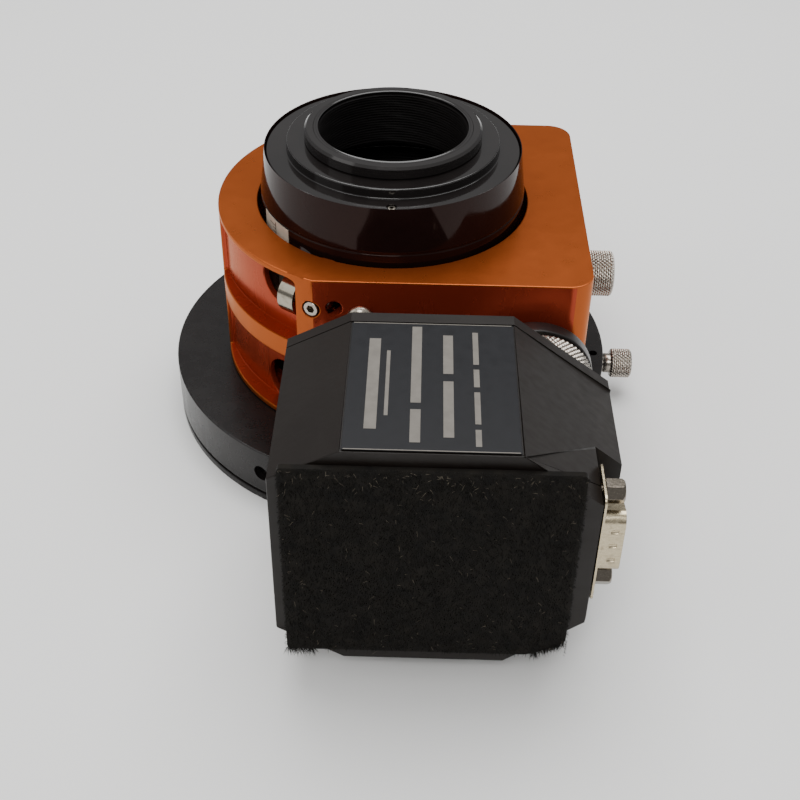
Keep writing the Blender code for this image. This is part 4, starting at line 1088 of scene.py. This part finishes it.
def motor_box():
    """The back plate and the folded cover."""
    plate = soften(copied("box_plate", "motor_back_plate"), 0.0003)
    dress(plate, COATING, "focuser", "black_anodised", "motor_back_plate")
    cover = soften(copied("box_cover", "motor_cover"), 0.0003, spared=no_fold)
    dress(cover, COATING, "focuser", "black_anodised", "motor_cover")


def cover_label():
    """The film on the top flat, with plain bars in place of its print."""
    low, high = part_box("cover_label")
    label = soften(block("top_label", low, (high.x, high.y, high.z - 0.0001)), 0.0001)
    dress(label, LABEL, "focuser", "label_film", "cover_label")
    shape = bmesh.new()
    size = high - low
    ink = 0.00006
    for left, width, ends in LABEL_BARS:
        for front, back in ends:
            corner = Vector((low.x + size.x * left, low.y + size.y * front, high.z - 2 * ink))
            span = Vector((size.x * width, size.y * (back - front), ink))
            place = Matrix.Translation(corner + span / 2) @ Matrix.Diagonal((*span, 1.0))
            bmesh.ops.create_cube(shape, size=1.0, matrix=place)
    dress(new_object("label_bars", shape), LABEL_INK, "focuser", "label_film")


def plate_hardware():
    """The four cover screws and the four posts that hold the motor box to the body."""
    for number in range(1, 5):
        at = middle(f"cover_screw_{number}")
        button_screw(f"plate_screw_{number}", 0.0027, 0.0018, 0.0100,
                     (at.x, PLATE_BACK + GAP, at.z), TO_Y, f"cover_screw_{number}")
    for number in range(1, 5):
        low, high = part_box(f"mounting_post_{number}")
        at = ((low.x + high.x) / 2, low.y, (low.z + high.z) / 2)
        post = rod(f"spacer_post_{number}", (high.x - low.x) / 2, high.y - low.y, 0.0, 0.0005,
                   at, TO_Y)
        dress(post, BLACK_FLAT, "focuser", "bright_steel", f"mounting_post_{number}")


motor_box()
cover_label()
plate_hardware()


# ---------------------------------------------------------------- hook-and-loop pad
PAD_LOW, PAD_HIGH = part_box("hook_loop_pad")
BACKING = 0.0006
PILE_FIBRES = 15000
EDGE_FIBRES = 900
CORNER_FIBRES = 260
LINT_FIBRES = 260
THICK = 0.00007                 # fibre radii
FINE = 0.00005
PAD_CUT = Vector((0.0085, 0.0045))      # the trimmed corner, along the bottom and up the side


def fibre(shape, root, lean, length, radius, sides=3, bends=3):
    """A short curved thread that tapers to a point, added to a bmesh."""
    across = lean.orthogonal().normalized()
    droop = Vector((0, 0, -length * 0.25))
    previous = None
    for bend in range(bends):
        share = bend / bends
        centre = root + lean * (length * share) + droop * share * share
        thick = radius * (1 - share * 0.5)
        ring = [shape.verts.new(centre + Matrix.Rotation(TAU * i / sides, 3, lean) @ across * thick)
                for i in range(sides)]
        if previous is None:
            shape.faces.new(ring)
        else:
            for i in range(sides):
                j = (i + 1) % sides
                shape.faces.new((previous[i], previous[j], ring[j], ring[i]))
        previous = ring
    point = shape.verts.new(root + lean * length + droop)
    for i in range(sides):
        shape.faces.new((previous[i], previous[(i + 1) % sides], point))


def loop_pad():
    """A woven backing with a pile of fine loops and some pale lint caught in it."""
    dice = random.Random(11)
    outline = eased([(PAD_LOW.x, PAD_LOW.z), (PAD_HIGH.x - PAD_CUT.x, PAD_LOW.z),
                     (PAD_HIGH.x, PAD_LOW.z + PAD_CUT.y), (PAD_HIGH.x, PAD_HIGH.z),
                     (PAD_LOW.x, PAD_HIGH.z)], 0.0012, bends=6)
    flipped = [(x, -z) for x, z in outline]
    backing = prism("pad_backing", flipped, PAD_HIGH.y - BACKING - 0.0008, PAD_HIGH.y, turn=TO_Y)
    dress(backing, FABRIC, "focuser", "hook_loop_pile", "hook_loop_pad")

    def spot(margin=0.0003):
        """A random root on the pad; one on the trimmed corner moves in to its edge."""
        x = dice.uniform(PAD_LOW.x + margin, PAD_HIGH.x - margin)
        z = dice.uniform(PAD_LOW.z + margin, PAD_HIGH.z - margin)
        edge = PAD_LOW.z + PAD_CUT.y * (1 - (PAD_HIGH.x - x) / PAD_CUT.x)
        return Vector((x, PAD_HIGH.y - BACKING - 0.0007, max(z, edge)))

    shape = bmesh.new()
    for _ in range(PILE_FIBRES):
        root = spot()
        lean = Vector((dice.gauss(0, 0.55), -1.0, dice.gauss(-0.1, 0.55))).normalized()
        fibre(shape, root, lean, dice.uniform(0.0006, 0.0013), THICK)
    for _ in range(EDGE_FIBRES):
        root = spot(0.0)
        edge = dice.choice(("left", "right", "top", "bottom"))
        out = {"left": (-1, 0), "right": (1, 0), "top": (0, 1), "bottom": (0, -1)}[edge]
        if out[0]:
            root.x = PAD_LOW.x if out[0] < 0 else PAD_HIGH.x
        else:
            root.z = min(root.z, PAD_LOW.z + PAD_CUT.y) if out[1] < 0 else PAD_HIGH.z
        lean = Vector((out[0] + dice.gauss(0, 0.5), -0.5 + dice.gauss(0, 0.3),
                       out[1] + dice.gauss(0, 0.5))).normalized()
        fibre(shape, root, lean, dice.uniform(0.0003, 0.0008), FINE)
    for corner, rise in ((PAD_LOW.x + 0.003, 0.0), (PAD_HIGH.x - PAD_CUT.x / 2, PAD_CUT.y / 2)):
        for _ in range(CORNER_FIBRES):
            out = max(-0.0027, min(0.0027, dice.gauss(0, 0.0025)))
            root = Vector((corner + out, PAD_HIGH.y - 0.0010,
                           PAD_LOW.z + 0.0003 + rise + out * rise / PAD_CUT.x * 2))
            lean = Vector((dice.gauss(0, 0.6), -0.3 + dice.gauss(0, 0.3), -1.0)).normalized()
            fibre(shape, root, lean, dice.uniform(0.0010, 0.0026), FINE)
    dress(new_object("pad_pile", shape), FABRIC, "focuser", "hook_loop_pile", angle=180)

    shape = bmesh.new()
    for number in range(LINT_FIBRES):
        root = spot()
        root.y -= 0.0007
        # A third of the pale fibres gather along the top edge, so that edge is lighter.
        if number % 3 == 0:
            root.z = PAD_HIGH.z - abs(dice.gauss(0, 0.0030))
        lean = Vector((dice.gauss(0, 1.0), -0.25, dice.gauss(0, 1.0))).normalized()
        fibre(shape, root, lean, dice.uniform(0.0004, 0.0014), FINE)
    dress(new_object("pad_lint", shape), LINT, "focuser", "hook_loop_pile", angle=180)


loop_pad()


# ---------------------------------------------------------------- connector
PORT = middle("connector_insulator")
SHELL_LOW, SHELL_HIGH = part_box("connector_shell")
SHELL_LENGTH = 0.0169
SHELL_WIDTH = 0.0083
SHELL_WALL = 0.0005
SHELL_CORNER = 0.0026
SHELL_SLANT = 0.0007
FLANGE_FRONT = SHELL_LOW.x + SHELL_WALL
JACK_RISE = 0.0125
JACK_HOLE = 0.0017
DIMPLE_RADIUS = 0.00065
DIMPLE_LENGTH = 0.0017
DIMPLE_PITCH = 0.0042
PIN_PITCH = 0.00277
PIN_ROWS = 0.00284
PIN_RADIUS = 0.00055
PIN_TIP_RADIUS = 0.00042
TO_PORT = Matrix(((0, 0, 1, 0), (0, 1, 0, 0), (-1, 0, 0, 0), (0, 0, 0, 1)))


def d_outline(shrink=0.0):
    """The D-shaped outline about the port's centre, as (along Z, along Y)."""
    wide = SHELL_LENGTH / 2 - SHELL_CORNER
    reach = SHELL_WIDTH / 2 - SHELL_CORNER
    radius = SHELL_CORNER - shrink
    outline = arc((-wide, -reach), radius, 180, 270, 10)
    outline += arc((wide, -reach), radius, 270, 360, 10)
    outline += arc((wide - SHELL_SLANT, reach), radius, 0, 90, 10)
    return outline + arc((SHELL_SLANT - wide, reach), radius, 90, 180, 10)


def port_part(name, outline, start, end):
    """A slab on an outline about the port's centre, between two x positions."""
    return prism(name, outline, 0.0, end - start, (start, PORT.y, PORT.z), TO_PORT)


def connector():
    """The nine-way port: flanged shell with grounding dimples, insulator and contacts."""
    half_long = (SHELL_HIGH.z - SHELL_LOW.z) / 2
    half_wide = (SHELL_HIGH.y - SHELL_LOW.y) / 2
    rim = eased([(-half_long, -half_wide), (half_long, -half_wide), (half_long, half_wide),
                 (-half_long, half_wide)], 0.0020, bends=8)
    shell = port_part("port_shell", rim, SHELL_LOW.x, FLANGE_FRONT)
    carve(shell, port_part("tube", d_outline(), SHELL_LOW.x + 0.0002, SHELL_HIGH.x),
          operation="UNION")
    past = 0.002
    tools = [port_part("room", d_outline(SHELL_WALL), SHELL_LOW.x - past, SHELL_HIGH.x + past)]
    for level in (-1, 1):
        at = (SHELL_LOW.x - past, PORT.y, PORT.z + level * JACK_RISE)
        tools.append(drill(JACK_HOLE, 0.006, at, TO_X))
    dimple_x = (FLANGE_FRONT + SHELL_HIGH.x) / 2 + 0.0004
    for row, count in ((-1, 3), (1, 2)):
        for place in range(count):
            at = (dimple_x - DIMPLE_LENGTH / 2, PORT.y + row * (SHELL_WIDTH / 2 + 0.00025),
                  PORT.z + (place - (count - 1) / 2) * DIMPLE_PITCH)
            tools.append(drill(DIMPLE_RADIUS, DIMPLE_LENGTH, at, TO_X, 24))
    carve(shell, *tools)
    merge_flats(shell)
    soften(shell, 0.00012)
    dress(shell, NICKEL, "focuser", "nickel_plate", "connector_shell", angle=40)

    core_face = FLANGE_FRONT + 0.0008
    core = port_part("port_insulator", d_outline(SHELL_WALL + GAP),
                     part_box("connector_insulator")[0].x, core_face)
    pins = bmesh.new()
    pin_tip = SHELL_HIGH.x - 0.0006
    reach = pin_tip - core_face + 0.0004
    for row, count in ((-1, 5), (1, 4)):
        for place in range(count):
            at = (pin_tip - reach / 2, PORT.y + row * PIN_ROWS / 2,
                  PORT.z + (place - (count - 1) / 2) * PIN_PITCH)
            bmesh.ops.create_cone(pins, cap_ends=True, segments=16, radius1=PIN_RADIUS,
                                  radius2=PIN_TIP_RADIUS, depth=reach,
                                  matrix=Matrix.Translation(at) @ TO_X)
    soften(core, 0.0002)
    dress(core, PLASTIC, "focuser", "black_plastic", "connector_insulator")
    dress(new_object("port_contacts", pins), GOLD, "focuser", "brass")


def jackscrew(name, node):
    """A hexagonal threaded standoff with chamfered corners."""
    low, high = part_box(node)
    across = 0.00475
    start = FLANGE_FRONT + GAP
    at = (start, PORT.y, (low.z + high.z) / 2)
    length = high.x - start
    corner = across / math.sqrt(3)
    screw = prism(name, arc((0, 0), corner, 30, 330, 5), 0.0, length, at, TO_X)
    cone = [(0.0, length), (across / 2 - 0.0001, length), (corner + 0.0002, length - 0.0009),
            (corner + 0.0002, -0.001), (0.0, -0.001)]
    carve(screw, revolve("chamfer", cone, at, TO_X, SMALL_ROUND), operation="INTERSECT")
    shank = [(0.0, 0.0005)] + stretch(0.0005, low.x - start, 0.0014, 0.00012, 0.0002)
    shank.append((0.0, low.x - start))
    carve(screw, revolve("shank", shank, at, TO_X, 32, screw_thread(0.0006)), operation="UNION")
    carve(screw, drill(0.0012, 0.0050, (high.x - 0.0028, at[1], at[2]), TO_X))
    soften(screw, 0.00008, 1, 40)
    dress(screw, PLATED, "focuser", "nickel_plate", node, angle=28)


connector()
jackscrew("port_jackscrew_upper", "connector_jackscrew_upper")
jackscrew("port_jackscrew_lower", "connector_jackscrew_lower")


# ---------------------------------------------------------------- inner CAD pieces that stay
for inner_node, inner_material, edge_width in (
        ("shaft_bush_front", BRASS, 0.0003), ("shaft_bush_back", BRASS, 0.0003),
        ("shaft_pressure_block", PLASTIC, 0.0003), ("circuit_board", BOARD, 0.0001),
        ("motor_bracket", STEEL, 0.00008), ("gearhead", STEEL, 0.00008),
        ("stepper_motor", BLACK_FLAT, 0.00008), ("motor_pinion", BRASS, 0.00008),
        ("clutch_gear", BRASS, 0.00008), ("clutch_hub", BRASS, 0.00008),
        ("clutch_nut", STEEL, 0.00008), ("clutch_spring", STEEL, 0.00008),
        ("clutch_washer", PLASTIC, 0.00008)):
    carry(inner_node, inner_material, edge_width)


# ---------------------------------------------------------------- stage and light
LIT_POINT = Vector((0.0, -0.03, 0.04))
WARM = (1.0, 0.99, 0.97)


def pale_floor():
    """A plain pale floor under the flange."""
    shape = bmesh.new()
    bmesh.ops.create_grid(shape, x_segments=8, y_segments=8, size=12.0)
    floor = new_object("studio_floor", shape)
    recipe = Recipe("studio_floor", {"Metallic": 0.0, "Specular IOR Level": 0.2})
    cloud = recipe.noise(0.004, 3.0)
    pale = ((0.3, (0.90, 0.90, 0.895)), (0.7, (0.92, 0.92, 0.915)))
    recipe.wire("Base Color", recipe.blend(cloud, *pale))
    recipe.wire("Roughness", recipe.spread(cloud, 0.75, 0.9))
    recipe.bump((recipe.noise(1.5, 3.0), 0.01))
    floor.data.materials.append(recipe.material)


def softbox(name, location, size, power, tint=(1, 1, 1)):
    """A rectangular area light aimed at the object."""
    lamp = bpy.data.lights.new(name, "AREA")
    lamp.shape = "RECTANGLE"
    lamp.size, lamp.size_y = size
    lamp.energy = power
    lamp.color = tint
    obj = bpy.data.objects.new(name, lamp)
    bpy.context.scene.collection.objects.link(obj)
    obj.location = location
    obj.rotation_mode = "QUATERNION"
    obj.rotation_quaternion = (LIT_POINT - Vector(location)).to_track_quat("-Z", "Y")


def pale_world():
    """Soft light from a pale room, brighter overhead."""
    world = bpy.data.worlds.new("pale_room")
    world.use_nodes = True
    tree = world.node_tree
    place = tree.nodes.new("ShaderNodeTexCoord")
    parts = tree.nodes.new("ShaderNodeSeparateXYZ")
    ramp = tree.nodes.new("ShaderNodeValToRGB")
    stops = ((0.0, (0.30, 0.30, 0.31, 1.0)), (0.9, (0.80, 0.80, 0.79, 1.0)))
    for element, (position, colour) in zip(ramp.color_ramp.elements, stops):
        element.position = position
        element.color = colour
    tree.links.new(place.outputs["Generated"], parts.inputs[0])
    tree.links.new(parts.outputs["Z"], ramp.inputs["Fac"])
    tree.links.new(ramp.outputs["Color"], tree.nodes["Background"].inputs["Color"])
    tree.nodes["Background"].inputs["Strength"].default_value = 0.8
    bpy.context.scene.world = world


pale_floor()
pale_world()
softbox("ceiling_light", (0.05, 0.25, 0.90), (0.9, 0.7), 9.0)
softbox("left_light", (-0.70, -0.25, 0.55), (0.5, 0.6), 0.9, WARM)
softbox("front_light", (-0.12, -0.75, 0.86), (0.5, 0.4), 4.0, WARM)
